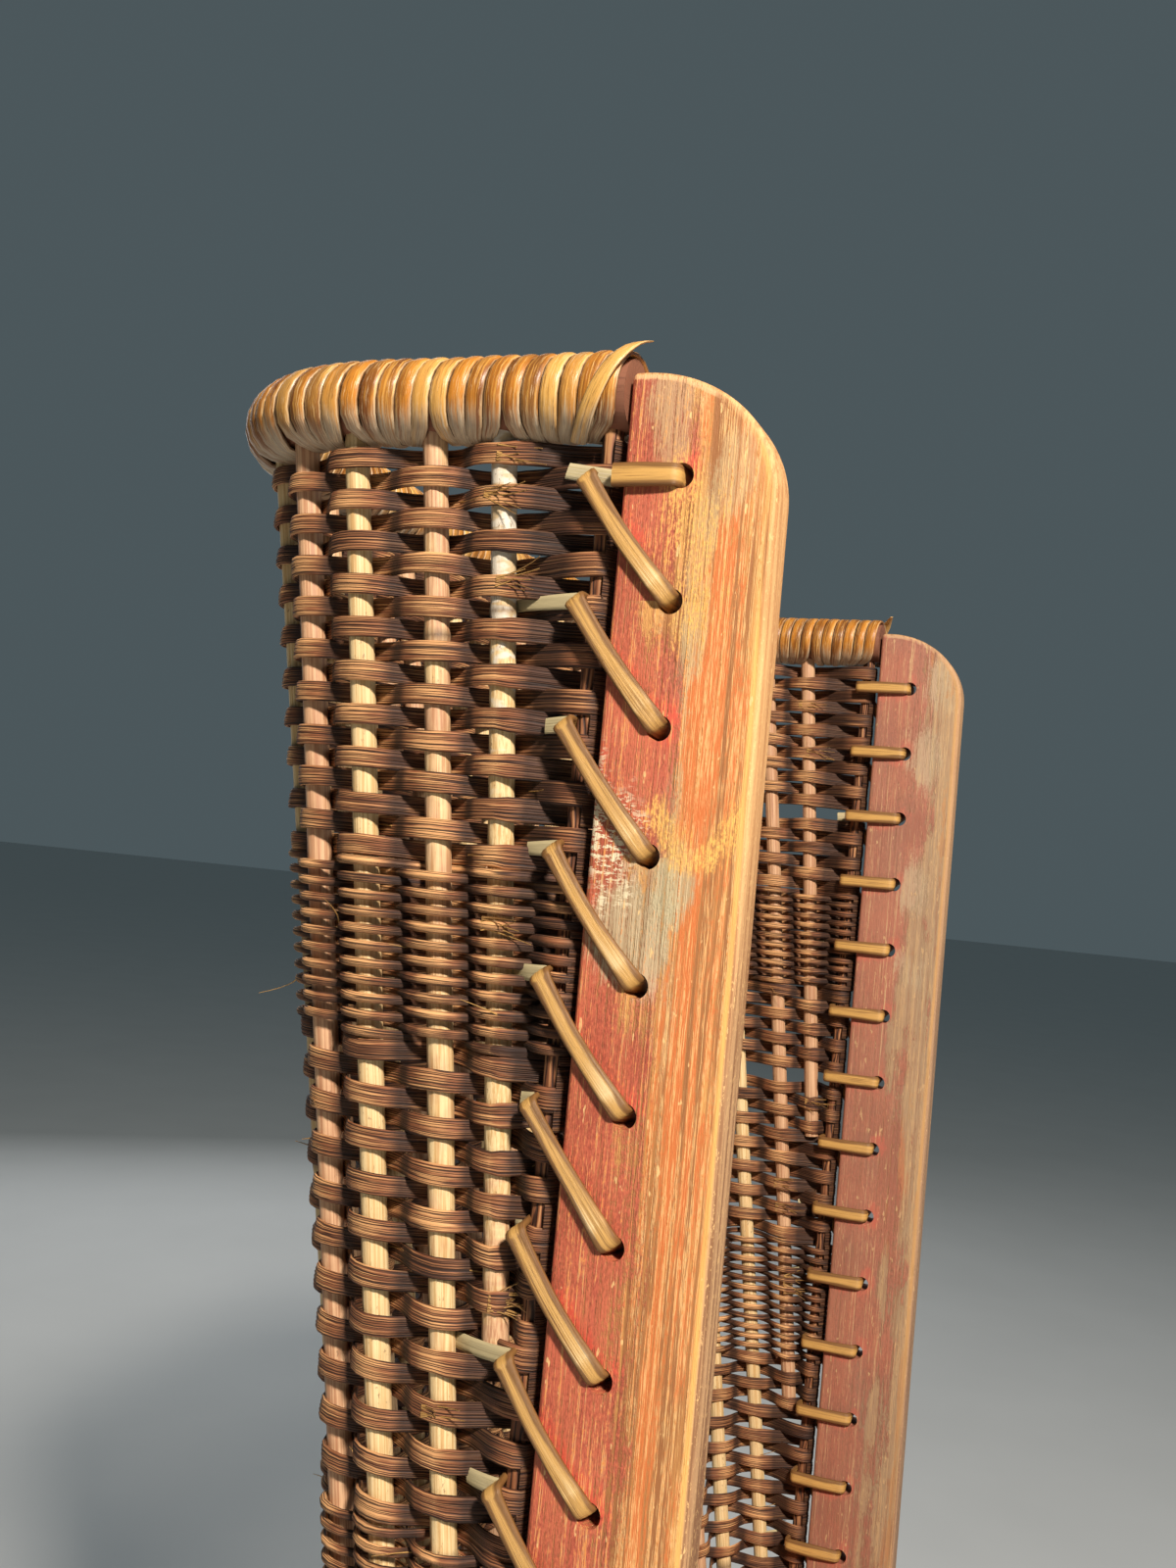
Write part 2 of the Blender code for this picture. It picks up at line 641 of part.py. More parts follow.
def make_lacing(name, side, finish):
    """One length of cane that whips the weaving's edge to a side board, from the seat up."""
    off = GAP + LACE_THICKNESS / 2
    outer, inner = side * (BOARD_OUTER + off), side * (BOARD_INNER - off)
    holes = list(reversed(board_holes()))
    points = [Vector((inner, LACE_TAIL, holes[0]))]
    for i, z in enumerate(holes):
        points.append(Vector((inner, -LACE_HOLE_INSET, z)))
        points.append(Vector((outer, -LACE_HOLE_INSET, z)))
        if i + 1 < len(holes):
            points.append(Vector((outer, LACE_SLOT, holes[i + 1])))
            points.append(Vector((inner, LACE_SLOT, holes[i + 1])))
    points.append(Vector((outer, LACE_TAIL, holes[-1])))
    bm = bmesh.new()
    rings = add_strip(bm, points, [Vector((0, 0, 1))] * len(points), LACE_WIDTH, LACE_THICKNESS)
    piece(name, bm, finish)
    print(f"{name}: {len(holes)} loops, least gap {1000 * least_gap(rings, 2, 8):.2f} mm")


def make_base_board(finish, tools):
    """The board that the back's stakes stand in. It is notched round the side boards."""
    edge = BOARD_OUTER - BOARD_MIDDLE
    level = 0
    stations = plan_stations(level, GAP)
    rear = [plan(s, level, edge) for s in stations]
    reach = BOARD_INNER - GAP
    outline = [(-reach, BASE_BOARD_FRONT), (-reach, GAP)] + [tuple(p) for p in rear]
    outline += [(reach, GAP), (reach, BASE_BOARD_FRONT)]
    bm = bmesh.new()
    low = BASE_Z - BASE_BOARD_THICKNESS
    face = bm.faces.new([bm.verts.new((x, y, low)) for x, y in outline])
    moved = bmesh.ops.extrude_face_region(bm, geom=[face])["geom"]
    verts = [v for v in moved if isinstance(v, bmesh.types.BMVert)]
    bmesh.ops.translate(bm, vec=(0, 0, BASE_BOARD_THICKNESS - GAP), verts=verts)
    board = piece("back_base_board", bm, finish)
    for tool in tools:
        cut(board, tool)


def seat_rod_lines():
    """Start and end of each seat rod, front to back."""
    reach = BOARD_INNER - SEAT_EDGE_ROD
    lines = []
    for i in range(SEAT_RODS):
        x = reach * (2 * i / (SEAT_RODS - 1) - 1)
        start = Vector((x, FRONT_RAIL_REAR - ROD_SOCKET, SEAT_MIDDLE_Z))
        end = Vector((x, BASE_BOARD_FRONT + ROD_SOCKET, SEAT_MIDDLE_Z))
        lines.append((start, end))
    return lines


def seat_section():
    """Half thickness of the seat's weaving across the seat: full over a rod, thin between two."""
    full = SEAT_ROD_DIAMETER / 2 + GAP + WEFT_THICKNESS
    rods = [start.x for start, _ in seat_rod_lines()]
    reach = BOARD_INNER - 2 * GAP
    section = [(-reach, full)]
    for x, following in zip(rods, rods[1:] + [reach]):
        section.append((x, full))
        if following < reach:
            run = following - x
            shoulder = WEFT_THICKNESS + (full - WEFT_THICKNESS) * SEAT_SHOULDER
            section += [(x + run / 4, shoulder), (x + run / 2, WEFT_THICKNESS), (x + 3 * run / 4, shoulder)]
    return section + [(reach, full)]


def make_seat_openings(front, back):
    """Openings through the seat's weaving, beside the middle of each gap between two rods."""
    rods = [start.x for start, _ in seat_rod_lines()]
    tall = SEAT_ROD_DIAMETER
    bm = bmesh.new()
    for near, far in zip(rods, rods[1:]):
        low_x = near + (far - near) / 2 + SEAT_OPEN_MARGIN
        high_x = near + 3 * (far - near) / 4 - SEAT_OPEN_MARGIN
        for row in range(SEAT_OPEN_ROWS):
            middle = front + (back - front) * (row + 0.5) / SEAT_OPEN_ROWS
            low = (low_x, middle - SEAT_OPEN_LENGTH / 2, SEAT_MIDDLE_Z - tall)
            high = (high_x, middle + SEAT_OPEN_LENGTH / 2, SEAT_MIDDLE_Z + tall)
            add_box(bm, low, high)
    return cutter("cut_seat_openings", bm)


def make_seat(rod_finish, weave_finish):
    """Seat rods in the front rail and the base board, and the weaving that they pass through."""
    room = bmesh.new()
    over = Vector((0, GAP, 0))
    for i, (start, end) in enumerate(seat_rod_lines()):
        bm = bmesh.new()
        add_rod(bm, start, end, SEAT_ROD_DIAMETER / 2)
        piece(f"seat_rod_{i + 1:02d}", bm, rod_finish, smooth=True)
        add_rod(room, start - over, end + over, SEAT_ROD_DIAMETER / 2 + GAP)
    tool = cutter("cut_seat_rods", room)
    section = seat_section()
    outline = [(x, SEAT_MIDDLE_Z + half) for x, half in section]
    outline += [(x, SEAT_MIDDLE_Z - half) for x, half in reversed(section)]
    front, back = FRONT_RAIL_REAR + GAP, BASE_BOARD_FRONT - GAP
    bm = bmesh.new()
    face = bm.faces.new([bm.verts.new((x, front, z)) for x, z in outline])
    moved = bmesh.ops.extrude_face_region(bm, geom=[face])["geom"]
    verts = [v for v in moved if isinstance(v, bmesh.types.BMVert)]
    bmesh.ops.translate(bm, vec=(0, back - front, 0), verts=verts)
    weaving = piece("seat_weaving", bm, weave_finish)
    cut(weaving, tool)
    cut(weaving, make_seat_openings(front, back))
    return tool


def main():
    clear_scene()
    red_pine = material("red_washed_pine", (0.42, 0.13, 0.08), 0.65)
    bare_cane = material("bare_cane", (0.68, 0.47, 0.24), 0.55)
    bound_cane = material("bound_cane", (0.60, 0.33, 0.10), 0.35)
    brown_weft = material("brown_weft", (0.23, 0.11, 0.06), 0.70)
    fine_weft = material("fine_weft", (0.30, 0.17, 0.09), 0.70)
    rim_wood = material("rim_wood", (0.33, 0.17, 0.10), 0.70)
    front_rail = make_frame(red_pine)
    stake_room = make_stakes(bare_cane)
    make_weaving(brown_weft, fine_weft, (stake_room, make_lace_slots()))
    make_rim_core(rim_wood, (stake_room,))
    make_binding(bound_cane)
    for name, side in (("left_lacing", -1), ("right_lacing", 1)):
        make_lacing(name, side, bare_cane)
    rod_room = make_seat(bare_cane, brown_weft)
    make_base_board(red_pine, (stake_room, rod_room))
    cut(front_rail, rod_room)


main()
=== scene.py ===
# %% [markdown]
# # A woven chair
#
# Two pine side boards stand from the floor to the shoulders. A wicker back curves round behind them,
# bound along its rim with split cane and laced to the boards through a row of holes. This lesson
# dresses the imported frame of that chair: the frame fixes the places and sizes, and each step below
# puts the real material over one group of its plain solids.

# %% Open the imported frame
import math

import bmesh
import bpy
import numpy as np
from mathutils import Matrix, Vector, noise


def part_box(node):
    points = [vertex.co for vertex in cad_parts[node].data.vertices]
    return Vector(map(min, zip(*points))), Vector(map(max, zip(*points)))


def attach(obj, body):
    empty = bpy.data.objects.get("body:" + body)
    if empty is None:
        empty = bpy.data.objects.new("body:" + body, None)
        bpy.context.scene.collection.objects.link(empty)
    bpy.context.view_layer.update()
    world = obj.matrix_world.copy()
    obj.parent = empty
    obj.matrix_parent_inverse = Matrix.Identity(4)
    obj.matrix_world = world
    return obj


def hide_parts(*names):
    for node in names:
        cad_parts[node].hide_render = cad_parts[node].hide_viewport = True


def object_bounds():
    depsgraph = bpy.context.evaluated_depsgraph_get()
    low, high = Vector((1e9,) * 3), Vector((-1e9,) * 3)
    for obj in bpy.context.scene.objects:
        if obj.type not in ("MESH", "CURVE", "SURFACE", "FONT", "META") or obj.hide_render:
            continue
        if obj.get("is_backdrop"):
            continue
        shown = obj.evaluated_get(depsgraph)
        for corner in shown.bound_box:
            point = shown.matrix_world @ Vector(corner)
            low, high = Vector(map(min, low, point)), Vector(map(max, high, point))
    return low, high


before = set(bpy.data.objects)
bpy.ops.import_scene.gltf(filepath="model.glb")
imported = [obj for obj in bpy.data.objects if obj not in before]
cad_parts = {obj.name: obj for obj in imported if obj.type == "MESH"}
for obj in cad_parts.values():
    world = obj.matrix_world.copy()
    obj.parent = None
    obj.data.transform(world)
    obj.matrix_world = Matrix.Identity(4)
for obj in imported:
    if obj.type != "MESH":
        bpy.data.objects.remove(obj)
CAD_BOX = [list(corner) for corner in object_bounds()]
MM = 0.001
UP = Vector((0, 0, 1))
print("frame:", len(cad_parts), "nodes")

# %% [markdown]
# ## Measuring the frame
#
# A stake's two ends, a board's faces and the height of the rim could be typed in again. They are read
# from the frame's own solids instead, so a change in the frame carries through to the looks.

# %% Read places from the frame
ROD_SIDES = 8


def points_of(node):
    """The corners of a solid, as rows of x, y and z."""
    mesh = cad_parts[node].data
    flat = np.empty(3 * len(mesh.vertices))
    mesh.vertices.foreach_get("co", flat)
    return flat.reshape(-1, 3)


def ends_of(node, axis):
    """Middles of the two ends of a rod that runs along axis, and its radius."""
    points = points_of(node)
    ends = []
    for end in (points[:, axis].min(), points[:, axis].max()):
        ring = points[np.abs(points[:, axis] - end) < 0.1 * MM]
        low, high = ring.min(axis=0), ring.max(axis=0)
        ends.append(Vector((low + high) / 2))
    radius = (high - low)[0] / 2 / math.cos(math.pi / ROD_SIDES)
    return *ends, radius


board_low, board_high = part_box("left_side_board")
BOARD_REAR, BOARD_FRONT = board_high.y, board_low.y
BOARD_WIDTH = BOARD_REAR - BOARD_FRONT
BOARD_TOP = board_high.z
BOARD_OUTER, BOARD_INNER = -board_low.x, -board_high.x
RIM_Z = sum(corner.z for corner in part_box("rim_core")) / 2
CORE_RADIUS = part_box("rim_core")[1].z - RIM_Z
RIM_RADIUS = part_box("rim_binding_back")[1].z - RIM_Z
BASE_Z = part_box("lower_weaving")[0].z
print(f"boards {BOARD_WIDTH / MM:.0f} mm wide, rim at {RIM_Z:.4f} m, radius {RIM_RADIUS / MM:.1f} mm")

# %% [markdown]
# ## Camera
#
# The picture was taken from beside the chair, a little in front of the side boards and below the rim,
# with the camera rolled a few degrees. A camera could be moved about until the view looks right. This
# one was worked out from the straight edges of the boards and the even row of lacing holes, because
# only then do pieces further off fall into place too. The focal length is in the picture's pixels.

# %% Set the camera
IMAGE_HEIGHT = 1600
FOCAL_PIXELS = 1500
SENSOR = 36
CAMERA_X, CAMERA_Z = -0.6919, 0.8891
CAMERA_AHEAD = 0.1692
CAMERA_YAW, CAMERA_PITCH, CAMERA_ROLL = (math.radians(a) for a in (21.206, 3.017, 5.283))


def put(name, data):
    """A new object at the origin, in the scene."""
    obj = bpy.data.objects.new(name, data)
    bpy.context.scene.collection.objects.link(obj)
    return obj


lens = bpy.data.cameras.new("camera")
lens.sensor_width = SENSOR
lens.lens = FOCAL_PIXELS / IMAGE_HEIGHT * SENSOR
lens.clip_start = 10 * MM
camera = put("camera", lens)
bpy.context.scene.camera = camera
forward = Vector((math.cos(CAMERA_YAW), math.sin(CAMERA_YAW), math.tan(CAMERA_PITCH))).normalized()
level_right = forward.cross(UP).normalized()
level_up = level_right.cross(forward)
right = level_right * math.cos(CAMERA_ROLL) + level_up * math.sin(CAMERA_ROLL)
upward = level_up * math.cos(CAMERA_ROLL) - level_right * math.sin(CAMERA_ROLL)
camera.matrix_world = Matrix((right, upward, -forward)).transposed().to_4x4()
camera.location = (CAMERA_X, BOARD_REAR - CAMERA_AHEAD, CAMERA_Z)
print("camera:", [round(c, 3) for c in camera.location])

# %% [markdown]
# ## Floor and light
#
# A plain pale floor and a small studio. One small warm key light stands high up in front, on the near
# side, where the lacing's shadows say it was. A wide cool fill behind the far side and a soft light
# from the front lift the shadows, and the room itself is dim and even. A picture of a real room could
# light the chair as well, but lamps are easier to move.

# %% Make the floor and the lights
FLOOR_REACH = 30.0
FLOOR_CORNERS = ((-1, -1), (1, -1), (1, 1), (-1, 1))
LIGHT_AIM = Vector((0, BOARD_REAR, 0.8))
# place, size, power and colour of each light
LIGHTS = {
    "key": ((-1.75, -1.15, 2.35), 0.28, 128, (1.0, 0.93, 0.84)),
    "fill": ((2.4, 2.2, 1.8), 2.2, 22, (0.94, 0.97, 1.0)),
    "front": ((0.9, -3.0, 2.2), 2.0, 14, (1.0, 0.97, 0.93)),
}
ROOM_COLOUR = (0.60, 0.80, 0.88, 1)
ROOM_STRENGTH = 0.12

floor_mesh = bpy.data.meshes.new("floor")
corners = [(x * FLOOR_REACH, y * FLOOR_REACH, 0) for x, y in FLOOR_CORNERS]
floor_mesh.from_pydata(corners, [], [(0, 1, 2, 3)])
floor = put("floor", floor_mesh)
floor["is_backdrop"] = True
for name, (place, size, power, colour) in LIGHTS.items():
    data = bpy.data.lights.new(name, "AREA")
    data.size, data.energy, data.color = size, power, colour
    light = put(name, data)
    light.location = place
    light.rotation_euler = (LIGHT_AIM - Vector(place)).to_track_quat("-Z", "Y").to_euler()
room = bpy.data.worlds.new("room")
room.use_nodes = True
backdrop = room.node_tree.nodes["Background"]
backdrop.inputs["Color"].default_value = ROOM_COLOUR
backdrop.inputs["Strength"].default_value = ROOM_STRENGTH
bpy.context.scene.world = room
bpy.context.scene.view_settings.view_transform = "Standard"
print("floor and", len(LIGHTS), "lights")

# %% [markdown]
# ## Writing node maths
#
# Finishes and paths are both built from nodes. Each node could be added and linked in lines of its
# own, but then a short sum fills a page. A small class wraps a socket, so that sums can be written as
# sums, and a second one adds any other node from its type, its inputs and its settings.


# %% Wrap sockets and node trees
class Value:
    """A node's output that can be used in sums."""

    def __init__(self, graph, socket):
        self.graph = graph
        self.socket = socket

    def output(self, name):
        """Another output of the same node."""
        return Value(self.graph, self.socket.node.outputs[name])

    def math(self, operation, *others):
        return self.graph.add("ShaderNodeMath", dict(enumerate((self, *others))), operation=operation)

    def __add__(self, other):
        return self.math("ADD", other)

    __radd__ = __add__

    def __mul__(self, other):
        return self.math("MULTIPLY", other)

    __rmul__ = __mul__

    def __sub__(self, other):
        return self.math("SUBTRACT", other)

    def __rsub__(self, other):
        return self.graph.add("ShaderNodeMath", {0: other, 1: self}, operation="SUBTRACT")

    def __truediv__(self, other):
        return self.math("DIVIDE", other)

    def __pow__(self, other):
        return self.math("POWER", other)

    def between(self, low, high):
        """0 at low and 1 at high, with a soft start and end. low may be the larger."""
        inputs = {"Value": self, "From Min": low, "From Max": high}
        return self.graph.add("ShaderNodeMapRange", inputs, interpolation_type="SMOOTHSTEP")

    def mix(self, first, second):
        """Colours first and second, with this share of the second."""
        first, second = (c if isinstance(c, Value) else (*c, 1) for c in (first, second))
        return self.graph.add("ShaderNodeMix", {0: self, 6: first, 7: second}, 2, data_type="RGBA")


class Graph:
    """A shader or geometry tree that nodes are added to."""

    def __init__(self, tree):
        self.tree = tree

    def add(self, kind, inputs=None, output=0, **settings):
        """A new node's output. An input is given as a value to link or as a plain number or colour."""
        node = self.tree.nodes.new(kind)
        for name, setting in settings.items():
            setattr(node, name, setting)
        for name, given in (inputs or {}).items():
            if isinstance(given, Value):
                self.tree.links.new(given.socket, node.inputs[name])
            else:
                node.inputs[name].default_value = given
        return Value(self, node.outputs[output]) if node.outputs else node

    def split(self, vector):
        x = self.add("ShaderNodeSeparateXYZ", {"Vector": vector})
        return x, x.output("Y"), x.output("Z")

    def vector(self, x, y, z):
        return self.add("ShaderNodeCombineXYZ", {"X": x, "Y": y, "Z": z})


# %% Start a finish, and finish the floor
SHINE = 0.4
VARNISH_ROUGHNESS = 0.25


class Finish(Graph):
    """A material and the nodes of its finish."""

    def __init__(self, name):
        self.material = bpy.data.materials.new(name)
        self.material.use_nodes = True
        super().__init__(self.material.node_tree)

    def place(self):
        return self.add("ShaderNodeTexCoord", output="Object")

    def attribute(self, name):
        return self.add("ShaderNodeAttribute", output="Fac", attribute_name=name)

    def noise(self, place, detail=3.0, roughness=0.55, scale=1.0):
        """Smooth noise, from about 0.3 to 0.7. The place is a vector, or its x, y and z."""
        place = self.vector(*place) if isinstance(place, tuple) else place
        inputs = {"Vector": place, "Scale": scale, "Detail": detail, "Roughness": roughness}
        return self.add("ShaderNodeTexNoise", inputs, "Fac")

    def stretch(self, place, scales, shift=(0, 0, 0)):
        return self.add("ShaderNodeMapping", {"Vector": place, "Scale": scales, "Location": shift})

    def streaks(self, place, scales, detail=3.0, roughness=0.55):
        """Noise that is drawn out along an axis with a small scale."""
        return self.noise(self.stretch(place, scales), detail, roughness)

    def lay(self, colour, coats, roughness, height, depth, varnish=0.0):
        """Lays coats over a colour, each a share and a tint, and joins all to the shader."""
        for share, tint in coats:
            colour = share.mix(colour, tint)
        shader = self.tree.nodes["Principled BSDF"]
        shader.inputs["Specular IOR Level"].default_value = SHINE
        shader.inputs["Coat Weight"].default_value = varnish
        shader.inputs["Coat Roughness"].default_value = VARNISH_ROUGHNESS
        bump = self.add("ShaderNodeBump", {"Height": height, "Strength": 1.0, "Distance": depth})
        for name, value in (("Base Color", colour), ("Roughness", roughness), ("Normal", bump)):
            self.tree.links.new(value.socket, shader.inputs[name])
        return self.material


ground = Finish("pale_floor")
speckle = ground.noise(ground.place(), scale=4.0)
paint = [(speckle, (0.66, 0.66, 0.65))]
floor_mesh.materials.append(
    ground.lay((0.60, 0.60, 0.59), paint, 0.75 + 0.1 * speckle, speckle, 0.1 * MM)
)
print("floor finish:", len(ground.tree.nodes), "nodes")

# %% [markdown]
# ## Finish of the pine
#
# The boards are flat-sawn pine under a brick-red wash. Years of handling have rubbed the wash off the
# middle and front of each face, where the wood has gone from ochre to grey. It survives along the
# rear edge, and brightest of all where the lacing shields it, beside its stitches and holes. The
# front arris is rubbed to clean yellow wood. A painted picture could be wrapped round a board, but it
# would be flat and would fit that board only. So each coat is a tint with a mask of its own, made
# from noise that is drawn out along the grain, and the coats go on in the order of the real ones. The
# far board is duller and patchier, and the near board has marks that are placed one by one.

# %% Set out the lacing holes
HOLE_INSET = 20.0 * MM
HOLE_PITCH = 40.9 * MM
HOLE_DROP = 34.8 * MM
HOLE_DIAMETER = 8.4 * MM
FIRST_HOLE = BOARD_TOP - HOLE_DROP
HOLE_COUNT = int((FIRST_HOLE - BASE_Z - HOLE_DIAMETER) / HOLE_PITCH) + 1
HOLES = [FIRST_HOLE - i * HOLE_PITCH for i in range(HOLE_COUNT)]
HOLE_Y = BOARD_REAR - HOLE_INSET
LACE_HOOK = BOARD_REAR + 12.9 * MM
print(HOLE_COUNT, "lacing holes on each board, the lowest at", round(HOLES[-1], 4))

# %% Set out the grain and the wear
STITCH_SLANT = 0.78
PITCHES_BELOW = 20.0


def pine_grain(pine, place):
    """Streaks along the upright grain, from broad to fine, and a mottle of worn specks."""
    broad = pine.streaks(place, (60, 230, 5), 2.0)
    fine = pine.streaks(place, (300, 760, 11), 3.0, 0.65)
    hairs = pine.streaks(place, (1500, 3000, 110), 2.0)
    specks = pine.streaks(place, (1200, 1200, 520), 3.0, 0.7)
    return broad, fine, hairs, specks


def distance(y, z, spot, squash):
    """How far a point of a board is from a spot, with heights counted squash times."""
    return ((y - spot[0]) ** 2 + ((z - spot[1]) * squash) ** 2) ** 0.5


def beside_lacing(y, z):
    """How far a point is in front of the slanting stitch, above the level one, and from the hole."""
    climb = ((z - HOLES[-1]) / HOLE_PITCH + PITCHES_BELOW).math("FRACT")
    ahead = (HOLE_Y + climb * (LACE_HOOK - HOLE_Y) - y) * STITCH_SLANT
    level = ((climb + 0.5).math("FRACT") - 0.5) * HOLE_PITCH
    return ahead, level, distance(y, level, (HOLE_Y - 3.0 * MM, 2.5 * MM), 0.7)


def worn(mask, grain, rough=1.0):
    """A soft mask as a thin wash that is scratched along the grain and chipped at its edges."""
    _, fine, hairs, specks = grain
    scratched = (fine - 0.5) * 1.9 + (specks - 0.5) * 1.2 + (hairs - 0.5) * 0.9
    return (mask + scratched * rough).between(0.22, 0.78)


print(f"a stitch climbs {HOLE_PITCH / MM:.1f} mm and reaches {(LACE_HOOK - HOLE_Y) / MM:.1f} mm back")

# %% Mix the coats of wood and wash
OCHRE_PINE = (0.60, 0.29, 0.085)
PALE_PINE = (0.80, 0.50, 0.21)
DARK_PINE = (0.30, 0.115, 0.036)
ORANGE_PINE = (0.56, 0.135, 0.032)
GREY_PINE = (0.42, 0.31, 0.165)
YELLOW_PINE = (0.82, 0.46, 0.11)
BRICK_WASH = (0.50, 0.105, 0.058)
DARK_WASH = (0.33, 0.058, 0.034)
BRIGHT_WASH = (0.66, 0.075, 0.042)


def bare_wood(broad):
    """Brown wood between ochre lines."""
    return broad.between(0.40, 0.60).mix(DARK_PINE, OCHRE_PINE)


def brick(specks, patch):
    """The colour of the wash, with dark specks and patches."""
    return (specks + patch - 0.5).between(0.36, 0.62).mix(DARK_WASH, BRICK_WASH)


def wood_coats(grain, strip, cloud, z, near):
    """Orange wood in the front half of a board, and grey where it is weathered."""
    front = strip.between(0.42, 0.66) * strip.between(1.04, 0.80) * grain[0].between(0.34, 0.56)
    if near:
        grey = strip.between(0.24, 0.44) * strip.between(0.78, 0.56) * cloud.between(0.44, 0.60)
        grey = grey * z.between(0.78, 0.87) * 0.75
    else:
        grey = strip.between(0.44, 0.60) * strip.between(1.10, 0.92) * cloud.between(0.30, 0.50) * 0.95
    return [(worn(front * 0.85, grain) * 0.9, ORANGE_PINE), (worn(grey, grain) * 0.8, GREY_PINE)]


def kept_wash(strip, z, ahead, uneven, patch, near):
    """Where the wash survives. The near board's is rubbed thin in front of the stitches."""
    if not near:
        return strip.between(0.88, 0.46)
    thin = (ahead + uneven).between(10 * MM, 26 * MM) * patch.between(0.66, 0.40)
    return strip.between(0.70, 0.32) * (0.92 - thin * z.between(0.80, 0.87) * 0.65)


def shielded_wash(y, lacing, uneven, patch, near):
    """Where the lacing keeps the wash bright: beside a stitch, slanting or level, and at its hole."""
    ahead, level, from_hole = lacing
    splash = (from_hole + uneven * 0.4).between(7 * MM, 1.5 * MM)
    if near:
        fringe = (ahead + uneven * 0.5).between(10 * MM, 2 * MM) * ahead.between(-1.0 * MM, 1.5 * MM)
        return fringe.math("MAXIMUM", splash) * patch.between(0.36, 0.60)
    fringe = (level - uneven * 0.3).between(-11 * MM, -4 * MM) * level.between(2 * MM, -2 * MM)
    fringe = fringe * (y - HOLE_Y).between(-5 * MM, 2 * MM)
    return fringe.math("MAXIMUM", splash) * 1.2


def grain_lines(grain, kept, full, share):
    """Pale and dark lines of the grain, which show through the wash. full is where a line is palest."""
    _, fine, hairs, _ = grain
    lines = fine * 0.6 + hairs * 0.4
    pale = (lines - kept * 0.05).between(0.50, full) * share
    return [(pale, PALE_PINE), (lines.between(0.47, 0.36) * 0.6, DARK_PINE)]


# %% Mix the coats of marks and edges
CHALK = (0.76, 0.64, 0.42)
GREENISH = ((0.36, 0.29, 0.16), (0.52, 0.43, 0.26))
SAWN = ((0.50, 0.23, 0.085), (0.72, 0.40, 0.165))
DARKER_SAWN = ((0.15, 0.070, 0.036), (0.44, 0.25, 0.13))
RUBBED, RUBBED_TOP, RUBBED_LINES = (0.72, 0.36, 0.085), (0.66, 0.36, 0.19), (0.82, 0.48, 0.18)
DULL_GREY, PALE_GREY = (0.44, 0.29, 0.145), (0.58, 0.47, 0.28)
CORNER_WIDTH = 47 * MM
CORNER_DROP = 42 * MM
# places in millimetres: in from the front edge and down from the top
NEAR_GREYS = ((14, 32), (38, 11))
FAR_GREYS = ((13, 29), (19, 75), (19, 161), (17, 212))
NEAR_MARKS = {
    "bare": (BOARD_REAR - 25 * MM, 0.987),
    "grey": (BOARD_REAR - 15 * MM, 0.866),
    "grey_front": (BOARD_REAR - 29 * MM, 0.884),
    "chips": (BOARD_REAR - 7 * MM, 0.897),
    "knot": (BOARD_REAR - 35 * MM, 0.912),
}


def grey_spots(grain, y, z, uneven, near):
    """Spots that have bleached grey, which differ from board to board."""
    spots, grey = (NEAR_GREYS, DULL_GREY) if near else (FAR_GREYS, PALE_GREY)
    places = [(BOARD_FRONT + across * MM, BOARD_TOP - down * MM) for across, down in spots]
    masks = [(distance(y, z, spot, 0.45) + uneven).between(15 * MM, 3 * MM) for spot in places]
    return [(worn(mask * 0.75, grain, 0.8) * 0.75, grey) for mask in masks]


def near_marks(pine, grain, y, z, blotch):
    """The near board's own marks: a bared patch, two grey ones, flaked chalk and a knot."""
    _, fine, _, specks = grain
    yellow = specks.between(0.42, 0.58).mix(OCHRE_PINE, YELLOW_PINE)
    uneven = (blotch - 0.5) * 50 * MM
    bared = (distance(y, z, NEAR_MARKS["bare"], 0.45) + uneven).between(18 * MM, 4 * MM)
    coats = [(worn(bared * 0.6, grain, 1.3) * 0.85, yellow)]
    greenish = fine.between(0.40, 0.60).mix(*GREENISH)
    for name, reach in (("grey", 19), ("grey_front", 12)):
        away = distance(y, z, NEAR_MARKS[name], 0.60) + uneven * 0.7
        grey = away.between(reach * MM, (reach - 11) * MM)
        coats.append((worn(grey * 0.75, grain, 0.8) * 0.85, greenish))
    flaked = (distance(y, z, NEAR_MARKS["chips"], 0.55) + uneven).between(16 * MM, 6 * MM)
    crackle = pine.noise((y * 260.0, z * 620.0, 0.0), 3.0, 0.75)
    coats.append((flaked * crackle.between(0.50, 0.535) * 0.9, CHALK))
    ring = distance(y, z, NEAR_MARKS["knot"], 0.75) + uneven * 0.35
    lower = (NEAR_MARKS["knot"][1] - z).between(-6 * MM, 6 * MM)
    halo = ring.between(20 * MM, 14 * MM) * ring.between(5 * MM, 13 * MM) * lower
    coats.append((worn(halo * 0.7, grain, 1.2) * 0.85, yellow))
    heart = ring.between(10 * MM, 3 * MM) * lower
    coats.append((worn(heart * 0.5, grain, 1.4) * 0.8, ORANGE_PINE))
    return coats


